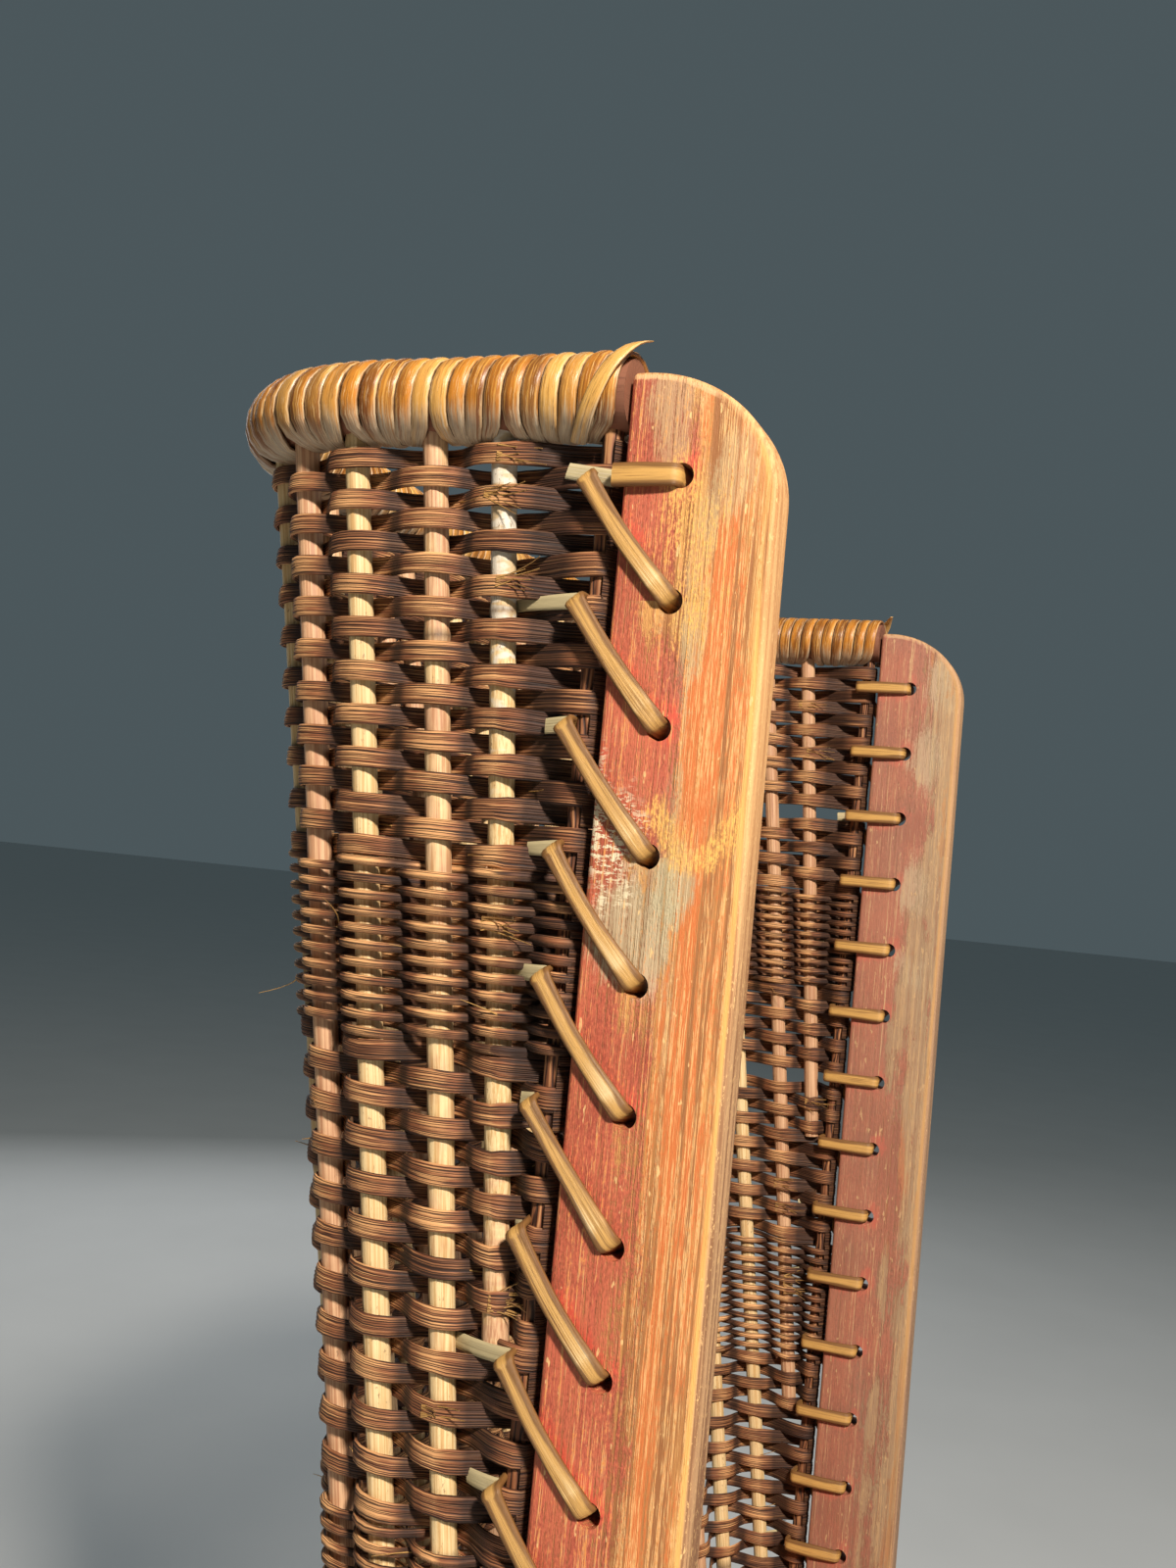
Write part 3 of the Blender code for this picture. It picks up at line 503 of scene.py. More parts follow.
def edge_coats(grain, y, z, cloud):
    """The rubbed arris round the front and top, and the brown sawn edge beyond it."""
    broad, fine, _, specks = grain
    rim_y = (BOARD_FRONT + CORNER_WIDTH - y).math("MAXIMUM", 0.0) / CORNER_WIDTH
    rim_z = (z - (BOARD_TOP - CORNER_DROP)).math("MAXIMUM", 0.0) / CORNER_DROP
    rim = (rim_y * rim_y + rim_z * rim_z) ** 0.5 + (broad - 0.5) * 0.03
    sawn, sawn_low = fine.between(0.38, 0.62).mix(*SAWN), fine.between(0.38, 0.60).mix(*DARKER_SAWN)
    # the sawn front edge is darker towards the bottom
    sawn = (z.between(0.95, 0.80) * 0.75).mix(sawn, sawn_low)
    sawn = (specks.between(0.58, 0.64) * 0.6).mix(sawn, PALE_PINE)
    arris = rim.between(0.925, 0.945) * rim.between(0.982, 0.962) * (broad + cloud).between(0.72, 1.02)
    rubbed = (fine * 0.6).mix(rim_z.between(0.3, 0.8).mix(RUBBED, RUBBED_TOP), RUBBED_LINES)
    return [(rim.between(0.955, 0.975), sawn), (arris * 0.9, rubbed)]


print(len(NEAR_MARKS) + len(NEAR_GREYS), "marks on the near board,", len(FAR_GREYS), "on the far one")

# %% Finish the two boards
FAR_SHADE_TINT = (0.27, 0.165, 0.11)
PATCHY = 1.7


def board_finish(name, seed, near, far_shade=0.0):
    """Washed pine for a side board, darkened by up to 1 with uneven painted shade, with the near board's
    wear or the far one's.
    """
    pine = Finish(name)
    place = pine.place()
    moved = pine.stretch(place, (1, 1, 1), (seed, 2 * seed, 3 * seed))
    _, y, z = pine.split(place)
    grain = broad, fine, hairs, specks = pine_grain(pine, moved)
    blotch = pine.streaks(moved, (24, 60, 24), 4.0, 0.62)
    cloud = pine.streaks(moved, (12, 30, 8))
    patch = pine.streaks(moved, (12, 12, 21), 2.0)
    nicks = pine.streaks(moved, (420, 420, 150), 2.0)
    ragged = ((blotch - 0.5) * 0.70 + (broad - 0.5) * 0.40) * (1.0 if near else PATCHY)
    strip = (BOARD_REAR - y) / BOARD_WIDTH + ragged
    uneven = (blotch - 0.5) * 30 * MM
    lacing = beside_lacing(y, z)
    kept = worn(kept_wash(strip, z, lacing[0], uneven, patch, near), grain)
    bright = shielded_wash(y, lacing, uneven, patch, near)
    coats = wood_coats(grain, strip, cloud, z, near)
    coats.append((kept * 0.9, brick(specks, patch)))
    coats.append((worn(bright * 0.7, grain) * 0.7, BRIGHT_WASH))
    coats += grey_spots(grain, y, z, uneven, near)
    coats += grain_lines(grain, kept, 0.57, 0.65)
    if near:
        coats += near_marks(pine, grain, y, z, blotch)
    coats += edge_coats(grain, y, z, cloud)
    coats.append((nicks.between(0.68, 0.72) * 0.8, PALE_PINE))
    # painted shade that dims the whole board, unevenly
    if far_shade:
        coats.append((far_shade * (0.6 + 0.8 * blotch), FAR_SHADE_TINT))
    roughness = 0.58 + 0.3 * fine - 0.12 * kept
    height = fine * 0.5 + hairs * 0.35 + kept * 0.25 + specks * 0.25
    return pine.lay(bare_wood(broad), coats, roughness, height, 0.6 * MM)


near_board_pine = board_finish("near_board_pine", 0.0, near=True)
far_board_pine = board_finish("far_board_pine", 3.7, near=False, far_shade=0.5)
print("board finishes:", near_board_pine.name, far_board_pine.name)

# %% Finish the seat frame's pine
ALONG = 0.03


def frame_finish(name, scales):
    """The same wash on a rail or leg, whose grain is stretched by scales, rubbed off its edges."""
    pine = Finish(name)
    place = pine.place()
    broad = pine.streaks(place, [150 * s for s in scales], 2.0)
    fine = pine.streaks(place, [950 * s for s in scales], 3.0, 0.65)
    hairs = pine.streaks(place, [2600 * s for s in scales], 2.0)
    specks = pine.noise(place, 3.0, 0.7, 900.0)
    blotch = pine.noise(place, 4.0, 0.62, 18.0)
    grain = broad, fine, hairs, specks
    kept = worn((blotch + (broad - 0.5) * 0.6).between(0.62, 0.40) * 0.9, grain)
    coats = [(worn(blotch.between(0.40, 0.56) * 0.8, grain) * 0.8, ORANGE_PINE)]
    coats.append((kept * 0.85, brick(specks, blotch)))
    coats += grain_lines(grain, kept, 0.58, 0.6)
    rubbed = pine.attribute("edge") * (blotch + fine * 0.5).between(0.62, 0.86)
    coats.append((rubbed * 0.9, fine.mix(OCHRE_PINE, YELLOW_PINE)))
    roughness = 0.62 + 0.25 * fine - 0.1 * kept
    return pine.lay(bare_wood(broad), coats, roughness, fine * 0.6 + kept * 0.25, 0.5 * MM)


upright_pine = frame_finish("upright_pine", (1, 1, ALONG))
lengthwise_pine = frame_finish("lengthwise_pine", (1, ALONG, 1))
crosswise_pine = frame_finish("crosswise_pine", (ALONG, 1, 1))
print("frame finishes: upright, lengthwise, crosswise")

# %% [markdown]
# ## Side boards
#
# Each board is one plank: a straight rear edge, a large round on the top front corner, edges eased
# with a plane, and the row of holes bored through. A bevel eases the edges of the drawn outline, and
# a boolean bores it, which keeps the holes crisp. The back rail's tenon comes right through, so its
# mortise is cut as well.

# %% Cut the side boards
CORNER_STEPS = 28
EASED = 2.2 * MM
EASED_STEPS = 4
HOLE_SIDES = 28
FIT = 0.3 * MM
TOOL_LENGTH = 0.1
CRISP = math.radians(32)


def finish_mesh(obj):
    """Turns an object's modifiers into a plain mesh of the same name."""
    graph = bpy.context.evaluated_depsgraph_get()
    mesh = bpy.data.meshes.new_from_object(obj.evaluated_get(graph))
    obj.modifiers.clear()
    obj.data = mesh


def mesh_from(bm, name):
    bmesh.ops.recalc_face_normals(bm, faces=bm.faces)
    mesh = bpy.data.meshes.new(name)
    bm.to_mesh(mesh)
    bm.free()
    return mesh


def ease(bm, least, width, steps, **more):
    """Rounds the edges that turn by more than least degrees, and returns the new faces."""
    sharp = [e for e in bm.edges if e.calc_face_angle(0) > math.radians(least)]
    sizes = {"offset": width, "segments": steps, "profile": 0.5, **more}
    return bmesh.ops.bevel(bm, geom=sharp, affect="EDGES", **sizes)["faces"]


def settle(obj, slot, *nodes):
    """Makes a finished piece ride with the chair and stand for the frame's nodes."""
    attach(obj, "root")
    if nodes:
        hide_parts(*nodes)


def settle_pine(obj, finish, node):
    """Gives a pine piece its finish, and smooth faces that stay crisp where they meet."""
    obj.data.shade_smooth()
    obj.data.set_sharp_from_angle(angle=CRISP)
    obj.data.materials.clear()
    obj.data.materials.append(finish)
    settle(obj, "red_pine", node)


def bore_tool(side):
    """The lacing holes and the back rail's mortise of one board, as a cutter."""
    bm = bmesh.new()
    across = Matrix.Rotation(math.pi / 2, 4, "Y")
    drill = {"segments": HOLE_SIDES, "radius1": HOLE_DIAMETER / 2, "radius2": HOLE_DIAMETER / 2}
    for z in HOLES:
        spot = Matrix.Translation((side * (BOARD_OUTER + BOARD_INNER) / 2, HOLE_Y, z))
        bmesh.ops.create_cone(bm, cap_ends=True, depth=TOOL_LENGTH, matrix=spot @ across, **drill)
    tenon = points_of("back_seat_rail")
    tenon = tenon[tenon[:, 0] > BOARD_INNER + MM]
    low, high = Vector(tenon.min(axis=0)), Vector(tenon.max(axis=0))
    size = Vector((TOOL_LENGTH, high.y - low.y + 2 * FIT, high.z - low.z + 2 * FIT))
    middle = Vector((side * BOARD_OUTER, (low.y + high.y) / 2, (low.z + high.z) / 2))
    bmesh.ops.create_cube(bm, size=1, matrix=Matrix.Translation(middle) @ Matrix.Diagonal((*size, 1)))
    return put("bore_tool", mesh_from(bm, "bore_tool"))


def side_board(name, side, finish, node):
    corner_y, corner_z = BOARD_FRONT + CORNER_WIDTH, BOARD_TOP - CORNER_DROP
    outline = [(BOARD_REAR, 0), (BOARD_REAR, BOARD_TOP)]
    for i in range(CORNER_STEPS + 1):
        turn = math.pi / 2 * i / CORNER_STEPS
        outline.append((corner_y - CORNER_WIDTH * math.sin(turn), corner_z + CORNER_DROP * math.cos(turn)))
    outline.append((BOARD_FRONT, 0))
    bm = bmesh.new()
    face = bm.faces.new([bm.verts.new((side * BOARD_INNER, y, z)) for y, z in outline])
    moved = bmesh.ops.extrude_face_region(bm, geom=[face])["geom"]
    verts = [v for v in moved if isinstance(v, bmesh.types.BMVert)]
    bmesh.ops.translate(bm, vec=(side * (BOARD_OUTER - BOARD_INNER), 0, 0), verts=verts)
    ease(bm, 30, EASED, EASED_STEPS)
    board = put(name, mesh_from(bm, name))
    tool = bore_tool(side)
    bore = board.modifiers.new("bores", "BOOLEAN")
    bore.solver, bore.operation, bore.object = "EXACT", "DIFFERENCE", tool
    finish_mesh(board)
    bpy.data.objects.remove(tool)
    settle_pine(board, finish, node)
    print(f"{name}: {len(board.data.polygons)} faces")


side_board("left_board", -1, near_board_pine, "left_side_board")
side_board("right_board", 1, far_board_pine, "right_side_board")

# %% [markdown]
# ## Seat frame
#
# Legs, rails, stretchers and the base board are already the right shape in the frame. A sawn edge is
# never sharp, so each is copied, its loose triangles are joined, and its edges are eased. The new
# faces along the edges are marked, so that the finish can rub the wash off them.

# %% Ease the edges of the seat frame
FRAME_EASED = 1.4 * MM
FRAME_PINE = {
    "left_front_leg": upright_pine,
    "right_front_leg": upright_pine,
    "left_seat_rail": lengthwise_pine,
    "right_seat_rail": lengthwise_pine,
    "left_stretcher": lengthwise_pine,
    "right_stretcher": lengthwise_pine,
    "front_seat_rail": crosswise_pine,
    "back_seat_rail": crosswise_pine,
    "middle_stretcher": crosswise_pine,
    "back_base_board": crosswise_pine,
}


def eased_copy(node, finish):
    """A copy of a solid with its edges eased, and marked."""
    bm = bmesh.new()
    bm.from_mesh(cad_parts[node].data)
    bmesh.ops.remove_doubles(bm, verts=bm.verts, dist=0.01 * MM)
    bmesh.ops.dissolve_limit(bm, angle_limit=math.radians(1), verts=bm.verts, edges=bm.edges)
    edge = bm.faces.layers.float.new("edge")
    for face in ease(bm, 40, FRAME_EASED, 2, clamp_overlap=True):
        face[edge] = 1.0
    obj = put(f"{node}_eased", mesh_from(bm, f"{node}_eased"))
    settle_pine(obj, finish, node)


for node, finish in FRAME_PINE.items():
    eased_copy(node, finish)
print("seat frame:", len(FRAME_PINE), "eased pieces")

# %% [markdown]
# ## Sweeping cane along a path
#
# Flat weaving, rim binding and lacing are all split cane: a flat strip whose section is drawn once
# and pushed along a path. A curve object with a bevel could do that, but it turns the strip as it
# likes. A geometry tree draws the section from the strip's width, thickness and number of ridges,
# turns the path's points into a curve whose normals are given point by point, so the strip always
# lies flat on what it wraps, and keeps how far along and across the strip each point is, for the
# finish to use. A second tree does the same with a round section, for rods and fine strands.


# %% Build the strip tree and the rod tree
def add_input(tree, name, kind, default=None):
    socket = tree.interface.new_socket(name, in_out="INPUT", socket_type=f"NodeSocket{kind}")
    if default is not None:
        socket.default_value = default


def keep(graph, geometry, name, value):
    """Stores value on a curve's points under that name."""
    inputs = {"Geometry": geometry, "Name": name, "Value": value}
    return graph.add("GeometryNodeStoreNamedAttribute", inputs, data_type="FLOAT", domain="POINT")


def named(graph, name, kind="FLOAT"):
    return graph.add("GeometryNodeInputNamedAttribute", {"Name": name}, data_type=kind)


def start_tree(name, sizes):
    """A geometry tree with a path, a material and those named sizes as inputs."""
    tree = bpy.data.node_groups.new(name, "GeometryNodeTree")
    tree.interface.new_socket("Geometry", in_out="OUTPUT", socket_type="NodeSocketGeometry")
    add_input(tree, "Path", "Geometry")
    for size, (kind, default) in sizes.items():
        add_input(tree, size, kind, default)
    add_input(tree, "Material", "Material")
    graph = Graph(tree)
    return graph, graph.add("NodeGroupInput", output="Path")


def close_tree(graph, path, section, spot, across):
    """Moves a section's points to spot, sweeps it along the path, and ends the tree."""
    section = graph.add("GeometryNodeSetPosition", {"Geometry": section, "Position": spot})
    section = keep(graph, section, "across", across)
    curve = graph.add("GeometryNodeMeshToCurve", {"Mesh": path})
    facing = {"Curve": curve, "Normal": named(graph, "out", "FLOAT_VECTOR")}
    curve = graph.add("GeometryNodeSetCurveNormal", facing, mode="FREE")
    curve = keep(graph, curve, "along", graph.add("GeometryNodeSplineParameter", output="Length"))
    inputs = {"Curve": curve, "Profile Curve": section, "Scale": named(graph, "girth"), "Fill Caps": True}
    mesh = graph.add("GeometryNodeCurveToMesh", inputs)
    mesh = graph.add("GeometryNodeSetShadeSmooth", {"Geometry": mesh})
    mesh = graph.add("GeometryNodeRealizeInstances", {"Geometry": mesh})
    mesh = graph.add("GeometryNodeSetMaterial", {"Geometry": mesh, "Material": path.output("Material")})
    graph.add("NodeGroupOutput", {0: mesh})
    return graph.tree


def strip_tree():
    """Flat cane with ridges along it."""
    sizes = {
        "Width": ("Float", 7.0 * MM),
        "Thickness": ("Float", 2.0 * MM),
        "Face Points": ("Int", 11),
        "Ridge Depth": ("Float", 0.22 * MM),
        "Crown": ("Float", 0.5),
    }
    graph, path = start_tree("flat_cane", sizes)
    count = path.output("Face Points")
    index = graph.add("GeometryNodeInputIndex")
    face = (index / count).math("FLOOR")
    step = index - face * count
    across = step / (count - 1) * 2 - 1
    way = 1 - face * 2
    crest = step.math("MODULO", 2.0)
    round_off = across * across
    thin = 1 - path.output("Crown") * round_off * round_off
    high = path.output("Thickness") / 2 * thin - path.output("Ridge Depth") * (1 - crest)
    spot = graph.vector(high * way, across * way * path.output("Width") / 2, 0.0)
    section = graph.add("GeometryNodeCurvePrimitiveCircle", {"Resolution": count * 2, "Radius": 1.0})
    return close_tree(graph, path, section, spot, across * way)


def rod_tree():
    """A round rod or strand, which may be flattened a little."""
    sizes = {"Radius": ("Float", 4.2 * MM), "Sides": ("Int", 14), "Flatness": ("Float", 0.0)}
    graph, path = start_tree("round_cane", sizes)
    inputs = {"Resolution": path.output("Sides"), "Radius": path.output("Radius")}
    section = graph.add("GeometryNodeCurvePrimitiveCircle", inputs)
    x, y, _ = graph.split(graph.add("GeometryNodeInputPosition"))
    spot = graph.vector(x * (1 - path.output("Flatness")), y, 0.0)
    factor = graph.add("GeometryNodeSplineParameter", output="Factor")
    return close_tree(graph, path, section, spot, factor * 2 - 1)


FLAT_CANE = strip_tree()
ROUND_CANE = rod_tree()
print("trees:", FLAT_CANE.name, ROUND_CANE.name)


# %% Gather paths into a piece
class Paths:
    """Open paths for one piece, with a direction, a girth, a crown and a tone at each point."""

    def __init__(self):
        self.points, self.edges, self.out = [], [], []
        self.girth, self.crown, self.tone = [], [], []

    def add(self, tone, points, out, crown=0.0, girth=1.0):
        """Adds a path. Its tone, crown and girth are one number each, or one for each point."""
        first, count = len(self.points), len(points)
        self.points += [tuple(p) for p in points]
        self.out += [tuple(o) for o in out]
        self.edges += [(first + i, first + i + 1) for i in range(count - 1)]
        for values, given in ((self.girth, girth), (self.crown, crown), (self.tone, tone)):
            values += list(np.broadcast_to(given, count))

    def sweep(self, name, tree, finish, slot, *nodes, **sizes):
        """Makes the piece that the tree draws along these paths, and settles it."""
        mesh = bpy.data.meshes.new(name)
        mesh.from_pydata(self.points, self.edges, [])
        out = mesh.attributes.new("out", "FLOAT_VECTOR", "POINT")
        out.data.foreach_set("vector", np.array(self.out, dtype=np.float32).ravel())
        for key in ("girth", "crown", "tone"):
            layer = mesh.attributes.new(key, "FLOAT", "POINT")
            layer.data.foreach_set("value", np.array(getattr(self, key), dtype=np.float32))
        obj = put(name, mesh)
        modifier = obj.modifiers.new(tree.name, "NODES")
        modifier.node_group = tree
        given = {key.replace("_", " ").title(): size for key, size in sizes.items()}
        given["Material"] = finish
        for item in tree.interface.items_tree:
            if item.in_out == "INPUT" and item.name in given:
                modifier[item.identifier] = given[item.name]
        finish_mesh(obj)
        obj.data.materials.clear()
        obj.data.materials.append(finish)
        settle(obj, slot, *nodes)
        print(f"{name}: {sum(len(p.vertices) - 2 for p in obj.data.polygons)} triangles")


# %% [markdown]
# ## Finish of the cane and the weft
#
# All the wicker is one family of finishes. Fibres run along each strand, so the colour is streaked
# along it and only slowly changes over its length. A weft is ridged, with a painted highlight on the
# crests and painted shade in the valleys. Where it bulges over a stake it is paler, partly rubbed and
# partly a painted highlight, and where it dives behind one it is darkened with painted shade. Split
# cane keeps a dark line of bark along its edges. A pattern in the room's directions would cut across
# the strands, so each path carries its own tone and a crown that says how far it stands out, and the
# finishes read these and the places along and across the strand.


# %% Mix the finishes of the weft and the lacing
def strand_values(cane):
    """How far along and across its strand a point is, and the strand's tone and crown there."""
    return [cane.attribute(name) for name in ("along", "across", "tone", "crown")]


def darker(shade, share):
    return [c * share for c in shade]


def cane_finish(name, shades, rub_and_highlight, gloss=0.55, streaks=9.0, ridges=0, bark=0.0):
    """Streaked cane from dark to light. The third argument pales the crowns, partly as rubbed wear and
    partly as a painted highlight; bark makes the edges darker.
    """
    cane = Finish(name)
    dark, middle, light = shades
    along, across, tone, crown = strand_values(cane)
    wobble = cane.noise((along * 40.0, tone * 31.0, across), 2.0) - 0.5
    crowd = cane.noise((along * 3.0, tone * 77.0, across * 2.2), 2.0) - 0.5
    fibres = (across + 1 + wobble * 0.3 + crowd * 0.9) * (max(ridges, 1) / 2)
    own = fibres.math("FLOOR") * 3.7 + tone * 57.0
    fibre = cane.noise((along * 18.0, across * streaks * 0.5, own), 4.0, 0.6)
    slow = cane.noise((along * 24.0, across * 0.3, tone * 91.0), 2.0)
    hair = cane.noise((along * 70.0, across * streaks * 2.2, tone * 23.0), 2.0)
    shade = fibre * 1.15 + slow * 0.60 + tone * 0.32 - 0.48
    coats = [
        (shade.between(0.18, 0.54), middle),
        # the crowns paler, partly as rubbed wear and partly as a painted highlight
        ((shade * 0.8 + crown * rub_and_highlight - 0.1).between(0.46, 0.80), light),
        (hair.between(0.58, 0.72) * 0.6, dark),
    ]
    height = fibre * 0.5 + hair * 0.5
    if bark:
        edge = across.math("ABSOLUTE") + (slow - 0.5) * 1.2 + (fibre - 0.5) * 0.6 - crown * 0.22
        coats.append((edge.between(0.38, 0.72) * bark, dark))
    if ridges:
        valley = (fibres.math("FRACT") - 0.5).math("ABSOLUTE") * 2
        # painted highlight on the crests of the ridges
        crest = valley.between(0.45, 0.10) * (fibre + slow * 0.5).between(0.60, 0.90)
        coats.append((crest * 0.55, light))
        # painted shade in the valleys between the ridges
        coats.append((valley.between(0.50, 0.85) * 0.9, darker(dark, 0.5)))
        # painted shade where the strand dives behind a stake
        coats.append((crown.between(0.15, -0.40) * 0.8, darker(dark, 0.4)))
        height = height - valley * valley * 0.9
    return cane.lay(dark, coats, gloss + 0.25 * (1 - fibre), height, 0.35 * MM)


WEFT_SHADES = ((0.034, 0.011, 0.005), (0.235, 0.079, 0.030), (0.71, 0.365, 0.150))
LACE_SHADES = ((0.13, 0.050, 0.014), (0.58, 0.32, 0.090), (0.88, 0.65, 0.34))
flat_weft = cane_finish("flat_weft", WEFT_SHADES, 0.50, ridges=8)
fine_weft = cane_finish("fine_weft", WEFT_SHADES, 0.88, ridges=9)
lace_cane = cane_finish("lace_cane", LACE_SHADES, 0.30, gloss=0.38, streaks=14.0, bark=0.85)
print("cane finishes: flat weft, fine weft, lacing")


# %% Mix the finish of the stakes
def stake_finish():
    """Peeled cane, from pinkish tan through cream to flaking grey white as its tone rises."""
    cane = Finish("stake_cane")
    along, across, tone, knuckle = strand_values(cane)
    fibre = cane.noise((along * 14.0, across * 16.0, tone * 57.0), 4.0, 0.6)
    slow = cane.noise((along * 26.0, across * 1.2, tone * 91.0))
    speck = cane.noise((along * 330.0, across * 9.0, tone * 13.0), 3.0, 0.7)
    tan = fibre.between(0.38, 0.62).mix((0.40, 0.19, 0.095), (0.60, 0.36, 0.20))
    cream = fibre.between(0.36, 0.60).mix((0.52, 0.31, 0.12), (0.74, 0.54, 0.28))
    flaking = slow.between(0.44, 0.56).mix((0.50, 0.36, 0.20), (0.64, 0.56, 0.44))
    marked = speck.between(0.60, 0.68) * (slow + tone * 0.3).between(0.52, 0.80)
    coats = [
        ((tone + (slow - 0.5) * 0.5).between(0.28, 0.46), cream),
        ((tone + (slow - 0.5) * 0.6).between(0.78, 0.90), flaking),
        (marked * 0.7, (0.16, 0.085, 0.04)),
        (knuckle * (0.4 + speck), (0.13, 0.075, 0.04)),
    ]
    return cane.lay(tan, coats, 0.42 + 0.3 * fibre, fibre * 0.6 + speck * 0.4, 0.3 * MM)


stake_cane = stake_finish()
print("stake finish:", len(stake_cane.node_tree.nodes), "nodes")


# %% Mix the finishes of the rim
def binding_finish():
    """Amber varnished cane, rubbed grey and pale on the underside and along the strip's edges, and darkest
    at its very edges, as painted shade in the seams between turns.
    """
    cane = Finish("binding_cane")
    along, across, tone, crown = strand_values(cane)
    fibre = cane.noise((along * 40.0, across * 4.0, tone * 40.0), 4.0, 0.6)
    slow = cane.noise((along * 21.0, across * 0.5, tone * 17.0), 2.0)
    spell = cane.noise((along * 5.0, 0.0, tone * 71.0), 2.0)
    fleck = cane.noise((along * 130.0, across * 7.0, tone * 23.0), 3.0, 0.65)
    amber = slow.between(0.38, 0.60).mix((0.17, 0.052, 0.008), (0.50, 0.185, 0.022))
    honey = fibre.mix((0.56, 0.270, 0.050), (0.82, 0.50, 0.150))
    grey = fibre.mix((0.20, 0.135, 0.080), (0.58, 0.46, 0.32))
    rubbed = (fibre * 0.7 + slow * 0.7 - crown * 0.42).between(0.80, 1.12)
    from_middle = across * across
    edge = from_middle.between(0.55, 0.85) * fibre.between(0.40, 0.55)
    coats = [
        (fibre.between(0.48, 0.66) * 0.70, (0.70, 0.36, 0.075)),
        ((spell + tone * 0.5 - 0.1).between(0.52, 0.68) * 0.8, honey),
        (rubbed, grey),
        (edge * 0.45, (0.72, 0.55, 0.34)),
        # painted shade in the seams between the turns
        (from_middle.between(0.86, 1.0) * 0.8, (0.10, 0.040, 0.012)),
        (fleck.between(0.55, 0.68) * 0.6, (0.12, 0.046, 0.012)),
        (fleck.between(0.42, 0.33) * 0.5, (0.76, 0.56, 0.32)),
    ]
    return cane.lay(amber, coats, 0.34 + 0.30 * rubbed, fibre + fleck * 0.5, 0.25 * MM, varnish=0.08)


binding_cane = binding_finish()
RIM_SHADES = ((0.09, 0.030, 0.016), (0.22, 0.085, 0.045), (0.36, 0.17, 0.10))
rim_wood = cane_finish("rim_wood", RIM_SHADES, 0.0, gloss=0.6)
print("binding finish:", len(binding_cane.node_tree.nodes), "nodes")

# %% [markdown]
# ## Stakes
#
# The wicker's uprights are peeled rods. Two beside each board run out part of the way down, and the
# rest go from the base board up into the rim. A plain cylinder would look turned. So each rod is
# swept along the axis of its solid with a slight bow, a slight change of thickness and here and there
# a row of knuckles, as a rod grows.

# %% Grow the stakes
BACK_STAKES = sorted(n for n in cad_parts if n.startswith("back_stake"))
STAKES = ["left_edge_stake", "left_wing_stake_1", "left_wing_stake_2", *BACK_STAKES]
STAKES += ["right_wing_stake_2", "right_wing_stake_1", "right_edge_stake"]
FIRST_BACK = STAKES.index(BACK_STAKES[0])
stake_ends = [ends_of(node, 2) for node in STAKES]
rng = np.random.default_rng(7)
ROD_POINTS = 150
ROD_BOW = 0.25 * MM
ROD_FULL = 1.06
ROD_UNEVEN = 0.03
KNUCKLE_GAP = 0.152
KNUCKLE_LENGTH = 1.3 * MM
KNUCKLE_SWELL = 0.10
NEAR_KNUCKLE = 0.9725
PLAIN_TONES = (0.1, 0.7)
STAKE_TONES = {
    "left_wing_stake_1": (0.30, 1.05),
    "left_wing_stake_2": (0.55, 0.30),
    "back_stake_01": (0.60, 0.50),
    "back_stake_02": (0.25, 0.15),
    "back_stake_03": (0.45, 0.62),
    "right_wing_stake_1": (0.15, 0.20),
    "right_wing_stake_2": (0.20, 0.10),
}


def wander(seed, at):
    """Smooth noise about 0 for a place along a rod."""
    return noise.noise(Vector((at, 3.7 * seed, 1.3)))


def grow_rod(node, ends, tone, seed, first_knuckle, finish, slot):
    """A round rod with a slight bow, a tone at its low end and at its high end, and knuckles."""
    low, high, radius = ends
    length = (high - low).length
    shares = np.linspace(0, 1, ROD_POINTS)
    bow = [Vector((wander(seed, 6 * s), wander(seed + 50, 6 * s), 0)) * ROD_BOW for s in shares]
    points = [low.lerp(high, s) + b for s, b in zip(shares, bow)]
    off = (first_knuckle - shares * length) % KNUCKLE_GAP
    off = np.minimum(off, KNUCKLE_GAP - off)
    knuckle = np.exp(-((off / KNUCKLE_LENGTH) ** 2)) if first_knuckle else np.zeros(ROD_POINTS)
    uneven = [ROD_FULL + ROD_UNEVEN * wander(seed + 90, 9 * s) for s in shares]
    girth = [u + KNUCKLE_SWELL * k for u, k in zip(uneven, knuckle)]
    rod = Paths()
    rod.add(np.linspace(*tone, ROD_POINTS), points, [(1, 0, 0)] * ROD_POINTS, knuckle, girth)
    rod.sweep(f"{node}_rod", ROUND_CANE, finish, slot, node, radius=radius, sides=12)


for k, (node, ends) in enumerate(zip(STAKES, stake_ends)):
    tone = STAKE_TONES.get(node, rng.uniform(*PLAIN_TONES, 2))
    knuckle = rng.choice([0.0, rng.uniform(0.05, KNUCKLE_GAP)])
    if node == "left_wing_stake_1":
        knuckle = NEAR_KNUCKLE - ends[0].z
    # the edge stakes take the dark weft finish, as painted shade in the dark gap beside each board
    grow_rod(node, ends, tone, k, knuckle, fine_weft if "edge" in node else stake_cane, "stake_cane")

# %% [markdown]
# ## Weaving
#
# The weft goes in front of one stake and behind the next, and each row takes the other way round from
# the row below it. A row is one strip, whose two ends wrap the edge stakes. A few rows are broken off
# short of the far board. A woven pattern could be painted on a curved wall, but light shows through
# this one. So each row's path is worked out from the stakes at its height: it swings out and in by
# the thickness of a stake, with a little sag and lean from stake to stake. Three bands are flat ridged
# strips and two are fine round strands.

# %% Work out the path of a row
GAP_STEPS = 6
EDGE_TURNS = (150, 115, 80, 40)
SNUG = 0.1 * MM
SQUEEZED = 0.97
LEAN = 0.07
BLUNT = 0.8
EDGE_SWELL = 0.16
EDGE_SHADE = 0.3


